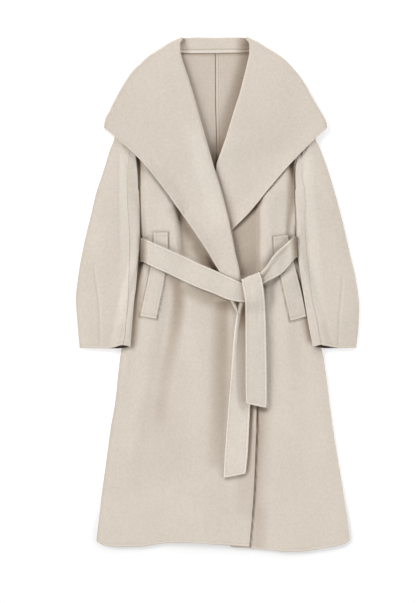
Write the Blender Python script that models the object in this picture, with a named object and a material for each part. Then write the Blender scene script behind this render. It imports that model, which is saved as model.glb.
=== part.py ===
"""Wool wrap coat with a shawl collar and a tie belt, laid flat with its front up.

Every piece is a sheet of cloth: its middle surface is worked out from a
drafting grid (columns across, drops down, one square = SQUARE millimetres)
and from the level of whatever it lies on, then given the cloth's thickness.
Sides are the wearer's: the wearer's right lies at -X.  The floor is z = 0.
"""
import math
import bpy
import numpy as np

# ---------------------------------------------------------------- sizes, mm
SQUARE = 2.4          # one square of the drafting grid
COL_CENTRE = 218.107  # grid column of X = 0, the middle of the width
ROW_CENTRE = 294.269  # grid row of Y = 0, the middle of the length
CLOTH = 2.2           # coat cloth
AIR = 1.3             # air between two layers that lie on each other
STEP = CLOTH + AIR    # from one layer's middle to the next one's
SEAM = 0.35           # gap between pieces that are sewn edge to edge
BELT = 4.0            # belt, cloth doubled
BELT_STEP = BELT + AIR
FALL_RAMP = 25.0      # squares over which the back comes down off the collar
PUFF = 5.5            # how far the fronts stand off the back between the sides, mm

CLOTH_COLOUR = (0.655, 0.590, 0.515, 1.0)

# ------------------------------------------------------------- grid helpers


def smooth(x):
    x = np.clip(x, 0.0, 1.0)
    return x * x * (3.0 - 2.0 * x)


def along(xs, ys, q):
    """Shape-keeping cubic through (xs, ys), held level beyond both ends."""
    xs = np.asarray(xs, float)
    ys = np.asarray(ys, float)
    q = np.clip(np.asarray(q, float), xs[0], xs[-1])
    h = np.diff(xs)
    d = np.diff(ys) / h
    m = np.empty_like(ys)
    m[0], m[-1] = d[0], d[-1]
    for i in range(1, len(xs) - 1):
        if d[i - 1] * d[i] <= 0.0:
            m[i] = 0.0
        else:
            w1, w2 = 2 * h[i] + h[i - 1], h[i] + 2 * h[i - 1]
            m[i] = (w1 + w2) / (w1 / d[i - 1] + w2 / d[i])
    k = np.clip(np.searchsorted(xs, q, side="right") - 1, 0, len(h) - 1)
    t = (q - xs[k]) / h[k]
    return ((1 + 2 * t) * (1 - t) ** 2 * ys[k] + t * (1 - t) ** 2 * h[k] * m[k]
            + t * t * (3 - 2 * t) * ys[k + 1] + t * t * (t - 1) * h[k] * m[k + 1])


def column(table, name):
    return [row[name] for row in table]


def edge(*points):
    """A table of edge points: column and row of the drafting grid."""
    return np.array(points, float)


def run(points, s):
    """Points at the fractions s of a smooth line through the given points."""
    p = np.asarray(points, float)
    c = np.concatenate([[0.0], np.cumsum(np.hypot(*np.diff(p, axis=0).T))])
    q = np.asarray(s, float) * c[-1]
    return np.stack([along(c, p[:, 0], q), along(c, p[:, 1], q)], axis=-1)


def side_step(points, distance):
    """The line moved sideways by a distance in squares (left of its run)."""
    p = np.asarray(points, float)
    t = np.gradient(p, axis=0)
    t /= np.linalg.norm(t, axis=1, keepdims=True)
    return p + distance * np.stack([t[:, 1], -t[:, 0]], axis=1)


def patch(top, bottom, left, right, ss, tt, left_at=None, right_at=None):
    """Coons patch between four lines; ss runs left to right, tt top to bottom.

    left_at and right_at give the stations along the two sides where they
    aren't tt itself.
    """
    s = np.asarray(ss)[None, :, None]
    t = np.asarray(tt)[:, None, None]
    tp, bt = run(top, ss)[None], run(bottom, ss)[None]
    lf = run(left, tt if left_at is None else left_at)[:, None]
    rt = run(right, tt if right_at is None else right_at)[:, None]
    a, b, c, d = tp[:, :1], tp[:, -1:], bt[:, :1], bt[:, -1:]
    return ((1 - t) * tp + t * bt + (1 - s) * lf + s * rt
            - ((1 - s) * (1 - t) * a + s * (1 - t) * b + (1 - s) * t * c + s * t * d))


def spaced(n, ends=0.0):
    """n + 1 fractions from 0 to 1, closer at both ends when ends > 0."""
    x = np.linspace(0, 1, n + 1)
    return (1 - ends) * x + ends * 0.5 * (1 - np.cos(np.pi * x))


# ------------------------------------------------------------ outline tables
# Each row of a table is one point (column, row) on the drafting grid.

SHOULDER_R = edge((127.2, 86.5), (131, 81.5), (138, 73.5), (148, 66), (158, 60), (165, 55.8), (170.6, 52.8))
SHOULDER_L = edge((303.6, 87), (299.5, 81.9), (292.2, 73.4), (282.6, 65.6), (273, 59.4), (265, 55), (259.2, 52.4))
# neck seam across the back, from fold to fold
NECK_BACK = edge((172.5, 47.5), (175, 50.8), (179, 53), (184, 53.6), (198, 53.7), (215.5, 53.6), (234, 53.2),
                 (246, 53.1), (251, 52.2), (254.8, 50.4), (257.3, 47.2))
ARMHOLE_R = edge((127.2, 86.5), (130, 110), (132.8, 140), (135.8, 155), (137.3, 165), (138.5, 176), (139.6, 190))
ARMHOLE_L = edge((303.6, 87), (302.6, 110), (301.6, 140), (299.4, 156), (296.6, 162), (295.2, 170), (294.4, 190))
SIDE_R = edge((139.6, 190), (140.6, 212), (143, 236), (144, 250), (143.8, 264), (138.5, 276), (133.5, 288),
              (129.5, 302), (126, 322), (123.3, 338), (121.3, 350), (118.7, 370), (115.5, 400), (110.5, 430),
              (106.5, 460), (102.3, 490), (98.8, 520), (96.4, 540.5))
SIDE_L = edge((294.4, 190), (294.6, 212), (293.6, 236), (294, 250), (295.4, 264), (299.4, 276), (303.6, 288),
              (309, 302), (314.5, 322), (318.6, 338), (321.8, 350), (325.4, 370), (329.2, 400), (333.2, 430),
              (338, 460), (343, 490), (347.6, 520), (350.2, 540))
CENTRE_BACK = edge((215.5, 53.6), (215.6, 100), (216.4, 130), (217, 160), (217.6, 300), (218, 542.5))
HEM_R = edge((96.4, 540.5), (105, 545), (120, 546.8), (140, 546.6), (155, 544.4), (170, 542.8), (190, 543),
             (210, 544.2), (229, 545.4), (249.6, 546.8))
HEM_L = edge((186.4, 539.5), (214, 541), (228.5, 543.4), (238, 546.3), (250, 547.3), (270, 548.8), (285, 551.4), (300, 551.6), (320, 549),
             (335, 547), (346, 544), (350.2, 540))
HEM_BACK_R = edge((96.4, 540.5), (112, 543.6), (140, 543.8), (170, 540.4), (195, 541), (218, 542.5))
HEM_BACK_L = edge((218, 542.5), (250, 545), (285, 548.6), (320, 547), (336, 544.6), (350.2, 540))

# roll lines of the two lapels (visible fold), from the neck down to the tip
ROLL_R = edge((181.2, 37), (180.2, 44), (180.6, 52), (184, 65), (190, 83), (200, 117), (209.4, 151), (214.6, 169),
              (223.6, 200), (230.8, 230), (237, 260), (241, 281))
ROLL_L = edge((247.6, 36.9), (249, 44), (249, 54), (247, 64), (241, 88), (233, 114), (224, 143), (216.4, 167),
              (209, 190), (203, 215), (199, 240), (197, 262))
NECK_TOP = edge((181.2, 37), (198, 37.6), (216, 37.8), (232, 37.5), (247.6, 36.9))
# folds of the collar over the shoulders, seen as its silhouette
OVER_R = edge((181.2, 37), (170, 42.4), (158, 49.8), (150, 55), (140, 64), (133, 70.6), (125, 82), (116.4, 97),
              (109, 112), (105.3, 119.5), (103.8, 127.2))
OVER_L = edge((247.6, 36.9), (258, 42), (265, 46.6), (272, 50.8), (280, 56), (287.2, 62), (294.4, 70), (301, 78),
              (312, 97), (319.6, 110), (325.4, 120.6), (327.2, 126.2))
# outer edges of the lapels, from the corner down to the tip
BRIM_R = edge((103.8, 127.2), (106, 129.6), (110.4, 133.2), (115.2, 137.2), (120, 141.5), (140, 160), (160, 184), (178, 209), (190, 226), (206, 250),
              (219.5, 272))
BRIM_L = edge((327.2, 126.2), (325, 129.4), (321.4, 132.6), (317.2, 136.2), (313.6, 140), (310, 144), (290, 164.5), (270, 187.5), (250, 212), (231.5, 231),
              (222, 242), (212, 252), (204, 264))
# neck seam of the fronts, hidden under the lapels beside the roll lines
SEAM_R = edge((172.5, 47.5), (172.8, 54), (174.6, 62), (178, 73), (183.6, 88), (194, 119.5), (204, 153),
              (210, 170.5), (218.4, 202), (225.3, 232), (231, 261), (234.4, 281.5))
SEAM_L = edge((257.3, 47.2), (257.2, 54), (255.4, 62), (252.2, 73), (247.2, 88.5), (239.2, 116), (230, 145),
              (222.4, 168.5), (215, 192), (209, 217), (205, 241), (203.2, 261))
FREE_R = edge((234.4, 283.5), (243, 286), (251, 297), (256.6, 325), (257.8, 360), (257.3, 407), (256, 450),
              (255.1, 475), (253.8, 500), (251.8, 522), (249.6, 546.6))
FREE_L = edge((203.2, 263.2), (196, 272), (188, 290), (182.5, 312), (180, 350), (178.6, 406), (179.2, 455),
              (181, 480), (183, 509), (186.4, 539.5))

SLEEVE_OUT_R = edge((125.2, 88.6), (121.4, 97), (116.8, 112), (114.6, 128), (114.3, 137.4), (109.8, 150.7),
                    (102.3, 174.7), (96.5, 192), (92.3, 209.6), (84, 244.4), (78.7, 273), (75.9, 300),
                    (77, 318.8), (79.4, 347))
SLEEVE_IN_R = edge((138.4, 190), (139.2, 205), (140, 220), (140, 238), (139, 252), (138, 262), (137, 275),
                   (136, 288), (134.5, 300), (132, 328), (130.5, 347))
SLEEVE_OUT_L = edge((305.4, 89.2), (308.4, 97.4), (313.2, 112), (315.4, 128), (315.6, 138.5), (319.2, 147), (326.8, 167),
                    (332.2, 184), (338.2, 205), (343.3, 225), (350.6, 257), (355.9, 280), (359.2, 308), (358.2, 330),
                    (356.4, 347))
SLEEVE_IN_L = edge((295.4, 190), (295.6, 205), (296, 225), (297, 240), (298, 255), (299, 262), (300, 270),
                   (303, 290), (307.5, 320), (312.6, 346.5))
CUFF_R = edge((79.4, 347), (100, 347.8), (120, 348.2), (130.5, 347))
CUFF_L = edge((356.4, 347), (340, 347.6), (324, 348.2), (312.6, 346.5))

# belt round the waist, from the knot round the wearer's right side, the back
# and the left side to the knot again: upper and lower edge, and where it lies
BAND = [
    dict(lie="front", up=(250, 285.8), low=(252, 301)),
    dict(lie="front", up=(241.2, 282.6), low=(243.4, 302.4)),
    dict(lie="front", up=(230, 277.3), low=(229, 299.8)),
    dict(lie="front", up=(215, 270.4), low=(213, 293.4)),
    dict(lie="front", up=(200, 264), low=(198, 287.8)),
    dict(lie="front", up=(185, 256.8), low=(183, 281)),
    dict(lie="front", up=(170, 250), low=(168.4, 273.9)),
    dict(lie="front", up=(156, 244), low=(154.6, 267.9)),
    dict(lie="front", up=(147.5, 240.3), low=(147, 264.3)),
    dict(lie="side", up=(142.5, 238.2), low=(142.4, 262.2)),
    dict(lie="back", up=(150, 237.6), low=(150, 261.4)),
    dict(lie="back", up=(184, 237.2), low=(184, 260.6)),
    dict(lie="back", up=(218, 237), low=(218, 260.2)),
    dict(lie="back", up=(252, 236.8), low=(252, 259.6)),
    dict(lie="back", up=(287, 236.4), low=(288, 258.4)),
    dict(lie="side", up=(294.2, 236.6), low=(295.4, 258.4)),
    dict(lie="front", up=(289.4, 240.8), low=(291.4, 263.6)),
    dict(lie="front", up=(283, 246), low=(285.4, 269.4)),
    dict(lie="front", up=(276.6, 251.8), low=(279.4, 275)),
    dict(lie="front", up=(271.4, 258), low=(273, 278.6)),
    dict(lie="front", up=(266.8, 265.4), low=(267.4, 281.2)),
    dict(lie="front", up=(262.6, 271.4), low=(263.6, 283.8)),
    dict(lie="front", up=(258.6, 278.4), low=(259, 287.2)),
    dict(lie="front", up=(250, 283.6), low=(251, 292)),
]
# knot and upper tail: from behind the belt over its upper edge and down
KNOT = [
    dict(lie="under", left=(245, 290.5), right=(260.6, 287)),
    dict(lie="under", left=(242.6, 285), right=(260, 278)),
    dict(lie="turn", left=(241.4, 281), right=(259.8, 273.3)),
    dict(lie="over", left=(241.8, 285), right=(261.6, 278.4)),
    dict(lie="over", left=(243.6, 294), right=(263.6, 290)),
    dict(lie="over", left=(244.8, 304), right=(264.6, 303)),
    dict(lie="tail", left=(245, 318), right=(265.4, 318)),
    dict(lie="tail", left=(245, 340), right=(266, 340)),
    dict(lie="tail", left=(245, 362), right=(266.5, 362)),
    dict(lie="tail", left=(245, 384), right=(266.8, 386)),
    dict(lie="tail", left=(245.6, 403.2), right=(266.6, 408)),
]
UNDER_TAIL = [
    dict(left=(228.6, 293), right=(246.4, 296)),
    dict(left=(230.2, 300), right=(248, 303)),
    dict(left=(233.4, 306.5), right=(249, 310)),
    dict(left=(236.3, 314), right=(250.2, 317)),
    dict(left=(235.4, 321), right=(251.2, 324)),
    dict(left=(233.8, 332), right=(252.2, 334)),
    dict(left=(232.2, 352), right=(252.4, 354)),
    dict(left=(230, 380), right=(251.6, 382)),
    dict(left=(227.6, 408), right=(250, 410)),
    dict(left=(225.6, 436), right=(248.8, 436)),
    dict(left=(224, 458), right=(247.6, 456)),
    dict(left=(223.2, 477.8), right=(245.8, 473.4)),
]
WELT_R = [
    dict(left=(153.6, 232.4), right=(168.2, 232.4)),
    dict(left=(153.4, 252), right=(168.4, 256)),
    dict(left=(150, 270), right=(165, 276)),
    dict(left=(145.2, 293), right=(161.2, 297)),
    dict(left=(140, 316.2), right=(156.6, 319.2)),
]
WELT_L = [
    dict(left=(272.6, 236.8), right=(288, 234.8)),
    dict(left=(273.6, 252), right=(290.6, 250)),
    dict(left=(280, 276), right=(296, 271)),
    dict(left=(284.8, 298), right=(301.4, 293)),
    dict(left=(290, 321.2), right=(306.4, 316.6)),
]

# soft folds of the two fronts: the line down each, its height in mm (a trough
# is negative), half widths in squares to its left and right, and how far the
# two ends die out
CHEST = edge((166, 172), (171.5, 190), (175, 205), (177, 222), (178, 242), (178.5, 258), (177, 272))
FOLDS = [
    dict(path=CHEST, height=[1.0, 3.5, 6.0, 8.0, 7.5, 6.5, 5.0], left=26, right=10, fade=(16, 10)),
    dict(path=edge((268, 186), (269, 214), (269, 244), (266, 268)), height=7.0, left=12, right=20, fade=(16, 14)),
    dict(path=edge((160, 268), (156, 318), (146, 380), (133, 450), (122, 540)), height=[9.0, 7.0, 4.4, 3.0, 1.6],
         left=19, right=18, fade=(14, 100)),
    dict(path=edge((194, 286), (198, 340), (203, 400), (206, 480)), height=[3.4, 4.0, 3.0, 1.6], left=20, right=22,
         fade=(14, 120)),
    dict(path=edge((224, 300), (223, 360), (221, 420), (219, 490)), height=[-2.0, -1.8, -1.2, -0.6], left=20,
         right=14, fade=(10, 90)),
    dict(path=edge((283, 270), (286, 330), (289, 400), (292, 480)), height=[8.0, 6.4, 3.4, 1.8], left=18, right=20,
         fade=(12, 130)),
]


def crease(u, v, path, height, left, right, fade):
    """Height of a fold at the points (u, v): a smooth hump beside its line."""
    best = np.full(np.shape(u), 1e9)
    side = np.zeros(np.shape(u))
    at = np.zeros(np.shape(u))
    total = 0.0
    for (x0, y0), (x1, y1) in zip(path[:-1], path[1:]):
        dx, dy = x1 - x0, y1 - y0
        size = math.hypot(dx, dy)
        t = np.clip(((u - x0) * dx + (v - y0) * dy) / size, 0, size)
        dist = np.hypot(u - (x0 + dx * t / size), v - (y0 + dy * t / size))
        closer = dist < best
        best = np.where(closer, dist, best)
        side = np.where(closer, np.sign((u - x0) * dy - (v - y0) * dx), side)
        at = np.where(closer, total + t, at)
        total += size
    q = best * side
    c = np.concatenate([[0.0], np.cumsum(np.hypot(*np.diff(path, axis=0).T))])
    shape = np.where(q < 0, smooth(1 + q / left), smooth(1 - q / right))
    return (np.interp(at, c, np.broadcast_to(height, (len(path),))) * shape * smooth(at / fade[0])
            * smooth((total - at) / fade[1]))


# --------------------------------------------------------------- the levels
# Level of the middle of each layer above the floor, in mm, at a grid point.


def at_row(points, v):
    return along(points[:, 1], points[:, 0], v)


def fall_row(u):
    """Row of the collar's outer edge where it falls behind the back."""
    return 126.0 + 12.0 * (1.0 - ((u - 216.0) / 112.0) ** 2)


def back_level(u, v):
    on_fall = smooth((fall_row(u) + 2.0 + FALL_RAMP - v) / FALL_RAMP)
    on_belt = smooth((13.5 + 30.0 - np.abs(v - 249.0)) / 30.0)
    return CLOTH / 2 + STEP * on_fall + BELT_STEP * on_belt


BELT_ROWS = edge((140, 249.5), (170, 262), (200, 276), (230, 289), (245, 291), (258, 280), (270, 271),
                 (285, 258), (297, 247))
BRIM_ROWS = edge((100, 128), (120, 141.5), (140, 160), (160, 184), (178, 209), (190, 226), (206, 250),
                 (219.5, 268), (225, 262), (231.5, 231), (250, 212), (270, 187.5), (290, 164.5), (310, 144), (330, 124))


def relief(u, v):
    """Height of the soft folds of the fronts; nothing under the collar."""
    total = sum(crease(u, v, **f) for f in FOLDS)
    clear = smooth((v - along(BRIM_ROWS[:, 0], BRIM_ROWS[:, 1], u) + 3.0) / 15.0)
    belt = 1.0 - 0.45 * np.exp(-((v - along(BELT_ROWS[:, 0], BELT_ROWS[:, 1], u)) / 12.0) ** 2)
    sides = smooth((u - at_row(SIDE_R, v)) / 8.0) * smooth((at_row(SIDE_L, v) - u) / 10.0)
    # the fronts stand off the back, least between the two chest folds and in the skirt
    v2 = np.clip(v, 172, 272)
    between = smooth((u - at_row(CHEST, v2) - 0.5) / 9.0) * smooth((261.0 - u) / 9.0)
    between = between * smooth((v - 168) / 14.0) * smooth((296 - v) / 20.0)
    puff = PUFF * (1 - 0.92 * between) * (1 - 0.8 * smooth((v - 290) / 130.0))
    return (total + puff) * clear * belt * sides


def hidden_edge(v):
    """Column of the left front's edge, hidden under the right front."""
    t = edge((224, 143), (216.4, 167), (209, 190), (203, 215), (199, 240), (196, 262), (188, 290), (182.5, 312),
             (180, 350), (178.6, 406), (179.2, 455), (181, 480), (183, 509), (186.4, 546))
    return at_row(t, v)


def under_front_level(u, v):
    return back_level(u, v) + STEP + relief(u, v)


# rise of each lapel by its roll line at the rows LIFT_ROWS, and of its outer
# edge at the columns given, in mm
LIFT_ROWS = [37, 46, 72, 120, 150, 172, 200, 240, 281]
ROLL_RISE = {"right": [0.5, 2.0, 7.0, 10.0, 9.0, 6.0, 6.5, 6.0, 3.0],
             "left": [0.5, 2.0, 7.0, 10.0, 9.0, 5.0, 4.0, 3.0, 2.0]}
BRIM_LIFT = {"right": ([104, 125, 150, 172, 184, 205, 219], [1.0, 1.5, 2.0, 2.5, 5.0, 6.0, 1.0]),
             "left": ([204, 232, 245, 262, 290, 310, 327], [0.0, 4.0, 4.0, 3.0, 2.0, 1.5, 1.0])}


def lapel_lift(side, u, v):
    """How far a lapel's fall stands off what it covers, in mm: a soft roll by
    the roll line, flatter outwards, and an outer edge that doesn't quite lie."""
    if side == "right":
        roll, over, brim, away = ROLL_R, OVER_R, BRIM_R, at_row(ROLL_R, v) - u
    else:
        roll, over, brim, away = ROLL_L, OVER_L, BRIM_L[::-1], u - at_row(ROLL_L, v)
    rise = np.interp(v, LIFT_ROWS, ROLL_RISE[side])
    reach = np.interp(v, [40, 120, 160, 200, 240, 280], [60, 88, 66, 48, 32, 16])
    lift = rise * (1 - smooth(away / reach))
    out = (along(brim[:, 0], brim[:, 1], u) - v) * 0.72
    lift = lift + np.interp(u, *BRIM_LIFT[side]) * smooth(1 - out / 15.0)
    near = np.min(np.hypot(u[..., None] - over[:, 0], v[..., None] - over[:, 1]), axis=-1)
    return lift * smooth(near / 20.0)


def under_lapel_level(u, v):
    seen = smooth((u - at_row(ROLL_R, np.clip(v, 60, 280)) - 5.0) / 10.0)
    return under_front_level(u, v) + STEP + lapel_lift("left", u, v) * seen


def top_front_level(u, v):
    on_front = smooth((u - hidden_edge(v) + 26.0) / 23.0)
    tip = edge((190, 272), (198, 268), (204, 263), (212, 253), (222, 243), (231.5, 232), (245, 216))
    on_lapel = on_front * smooth((along(tip[:, 0], tip[:, 1], u) + 48.0 - v) / 38.0)
    return back_level(u, v) + STEP + relief(u, v) + STEP * on_front + STEP * on_lapel


def top_lapel_level(u, v):
    return highest(top_front_level, u, v, 5.0) + STEP + lapel_lift("right", u, v)


def front_top(u, v):
    """Upper face of whichever front is on top, mm above the floor."""
    return np.where(u < at_row(FREE_EDGE, v) + 3.0, top_front_level(u, v), under_front_level(u, v)) + CLOTH / 2


FREE_EDGE = edge((214.6, 169), (223.6, 200), (230.8, 230), (237, 260), (243, 283), (251, 297), (256.6, 325),
                 (257.8, 360), (257.3, 407), (256, 450), (255.1, 475), (253.8, 500), (251.8, 522), (249.6, 546.6))


def highest(level, u, v, reach):
    """Highest value of a level within a reach (squares) of each point."""
    best = level(u, v)
    for k in range(8):
        a = k * math.pi / 4
        best = np.maximum(best, level(u + reach * math.cos(a), v + reach * math.sin(a)))
    return best


def even_out(z, rounds):
    """Averages a row of levels without letting any point sink."""
    floor = z.copy()
    for _ in range(rounds):
        z = np.maximum(floor, np.convolve(np.pad(z, 1, mode="edge"), [0.25, 0.5, 0.25], mode="valid"))
    return z


# ------------------------------------------------------------ from grid to mesh


def to_metres(u, v, z):
    return np.stack([(u - COL_CENTRE) * SQUARE, (ROW_CENTRE - v) * SQUARE, z], axis=-1) / 1000.0


cloth = bpy.data.materials.new("wool_cloth")


def facing(mid):
    """Unit normals of a grid of points."""
    nrm = np.cross(np.gradient(mid, axis=1), np.gradient(mid, axis=0))
    return nrm / np.linalg.norm(nrm, axis=2, keepdims=True)


def sheet(name, mid, thick, nrm=None):
    """One closed solid: a sheet of cloth round its middle surface (m x n x 3)."""
    m, n, _ = mid.shape
    if nrm is None:
        nrm = facing(mid)
    half = 0.0005 * np.broadcast_to(thick, (m, n))[..., None]
    pts = np.concatenate([(mid + nrm * half).reshape(-1, 3), (mid - nrm * half).reshape(-1, 3)])
    k = m * n

    def at(i, j, low=False):
        return i * n + j + (k if low else 0)

    faces = []
    for i in range(m - 1):
        for j in range(n - 1):
            a, b, c, d = at(i, j), at(i, j + 1), at(i + 1, j + 1), at(i + 1, j)
            # the shorter diagonal follows the cloth better
            if np.linalg.norm(mid[i, j] - mid[i + 1, j + 1]) <= np.linalg.norm(mid[i, j + 1] - mid[i + 1, j]):
                tris = [(a, b, c), (a, c, d)]
            else:
                tris = [(a, b, d), (b, c, d)]
            for t in tris:
                faces.append(t)
                faces.append(tuple(x + k for x in reversed(t)))
    for j in range(n - 1):
        faces.append((at(0, j + 1), at(0, j), at(0, j, True), at(0, j + 1, True)))
        faces.append((at(m - 1, j), at(m - 1, j + 1), at(m - 1, j + 1, True), at(m - 1, j, True)))
    for i in range(m - 1):
        faces.append((at(i, 0), at(i + 1, 0), at(i + 1, 0, True), at(i, 0, True)))
        faces.append((at(i + 1, n - 1), at(i, n - 1), at(i, n - 1, True), at(i + 1, n - 1, True)))
    mesh = bpy.data.meshes.new(name)
    mesh.from_pydata([tuple(p) for p in pts], [], faces)
    mesh.validate()
    volume = sum(v0.co.dot(v1.co.cross(v2.co)) for v0, v1, v2 in
                 ((mesh.vertices[f.vertices[0]], mesh.vertices[f.vertices[i]], mesh.vertices[f.vertices[i + 1]])
                  for f in mesh.polygons for i in range(1, len(f.vertices) - 1)))
    if volume < 0:
        mesh.flip_normals()
    mesh.update()
    mesh.shade_smooth()
    mesh.set_sharp_from_angle(angle=math.radians(40))
    obj = bpy.data.objects.new(name, mesh)
    obj.data.materials.append(cloth)
    bpy.context.scene.collection.objects.link(obj)
    return obj


# ----------------------------------------------------------------- the panels


def join(*lines):
    out = [np.asarray(lines[0], float)]
    for line in lines[1:]:
        line = np.asarray(line, float)
        out.append(line[1:] if np.hypot(*(line[0] - out[-1][-1])) < 1e-6 else line)
    return np.concatenate(out)


def panel(name, level, top, bottom, left, right, rows, cols, left_at=None, right_at=None):
    g = patch(top, bottom, left, right, spaced(cols, 0.25), rows, left_at, right_at)
    u, v = g[..., 0], g[..., 1]
    return sheet(name, to_metres(u, v, level(u, v)), CLOTH)


def length_of(points):
    return float(np.sum(np.hypot(*np.diff(np.asarray(points, float), axis=0).T)))


def beside_collar(seam, free, rest_rows):
    """Stations down a front's edge: the collar's own along the neck seam,
    after its first, then rest_rows more down the free edge."""
    line = join(seam, free)
    on_seam = (1.0 - STATIONS[::-1]) * length_of(seam) / length_of(line)
    start = 0.55 * on_seam[1]
    tail = np.linspace(on_seam[-1], 1.0, rest_rows + 1)[1:]
    return line, np.concatenate([[start], on_seam[1:], tail])


STATIONS = 1.0 - (1.0 - np.linspace(0, 1, 13)) ** 1.4   # along a lapel, tip to shoulder


def build_panels():
    gap = SEAM / SQUARE
    half = np.array([[gap / 2 + 0.02, 0.0]])
    neck = side_step(NECK_BACK, -1.3 * gap)
    centre = join(neck[5:6], CENTRE_BACK[1:])
    panel("back_right", back_level,
          top=join(SHOULDER_R, neck[1:6]) - half, bottom=HEM_BACK_R - half,
          left=join(ARMHOLE_R, SIDE_R), right=centre - half, rows=spaced(22, 0.1), cols=6)
    panel("back_left", back_level,
          top=join(neck[5:-1], SHOULDER_L[::-1]) + half, bottom=HEM_BACK_L + half,
          left=centre + half, right=join(ARMHOLE_L, SIDE_L), rows=spaced(22, 0.1), cols=6)
    line, at = beside_collar(side_step(SEAM_L, gap), FREE_L, 17)
    panel("front_left", under_front_level,
          top=join(run(line, at[:1]), SHOULDER_L[::-1][1:]), bottom=HEM_L,
          left=line, right=join(ARMHOLE_L, SIDE_L), rows=np.linspace(0, 1, len(at)), cols=11, left_at=at)
    line, at = beside_collar(side_step(SEAM_R, -gap), FREE_R, 17)
    panel("front_right", top_front_level,
          top=join(SHOULDER_R[:-1], run(line, at[:1])), bottom=HEM_R,
          left=join(ARMHOLE_R, SIDE_R), right=line, rows=np.linspace(0, 1, len(at)), cols=12, right_at=at)


# ----------------------------------------------------------------- the collar


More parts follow.
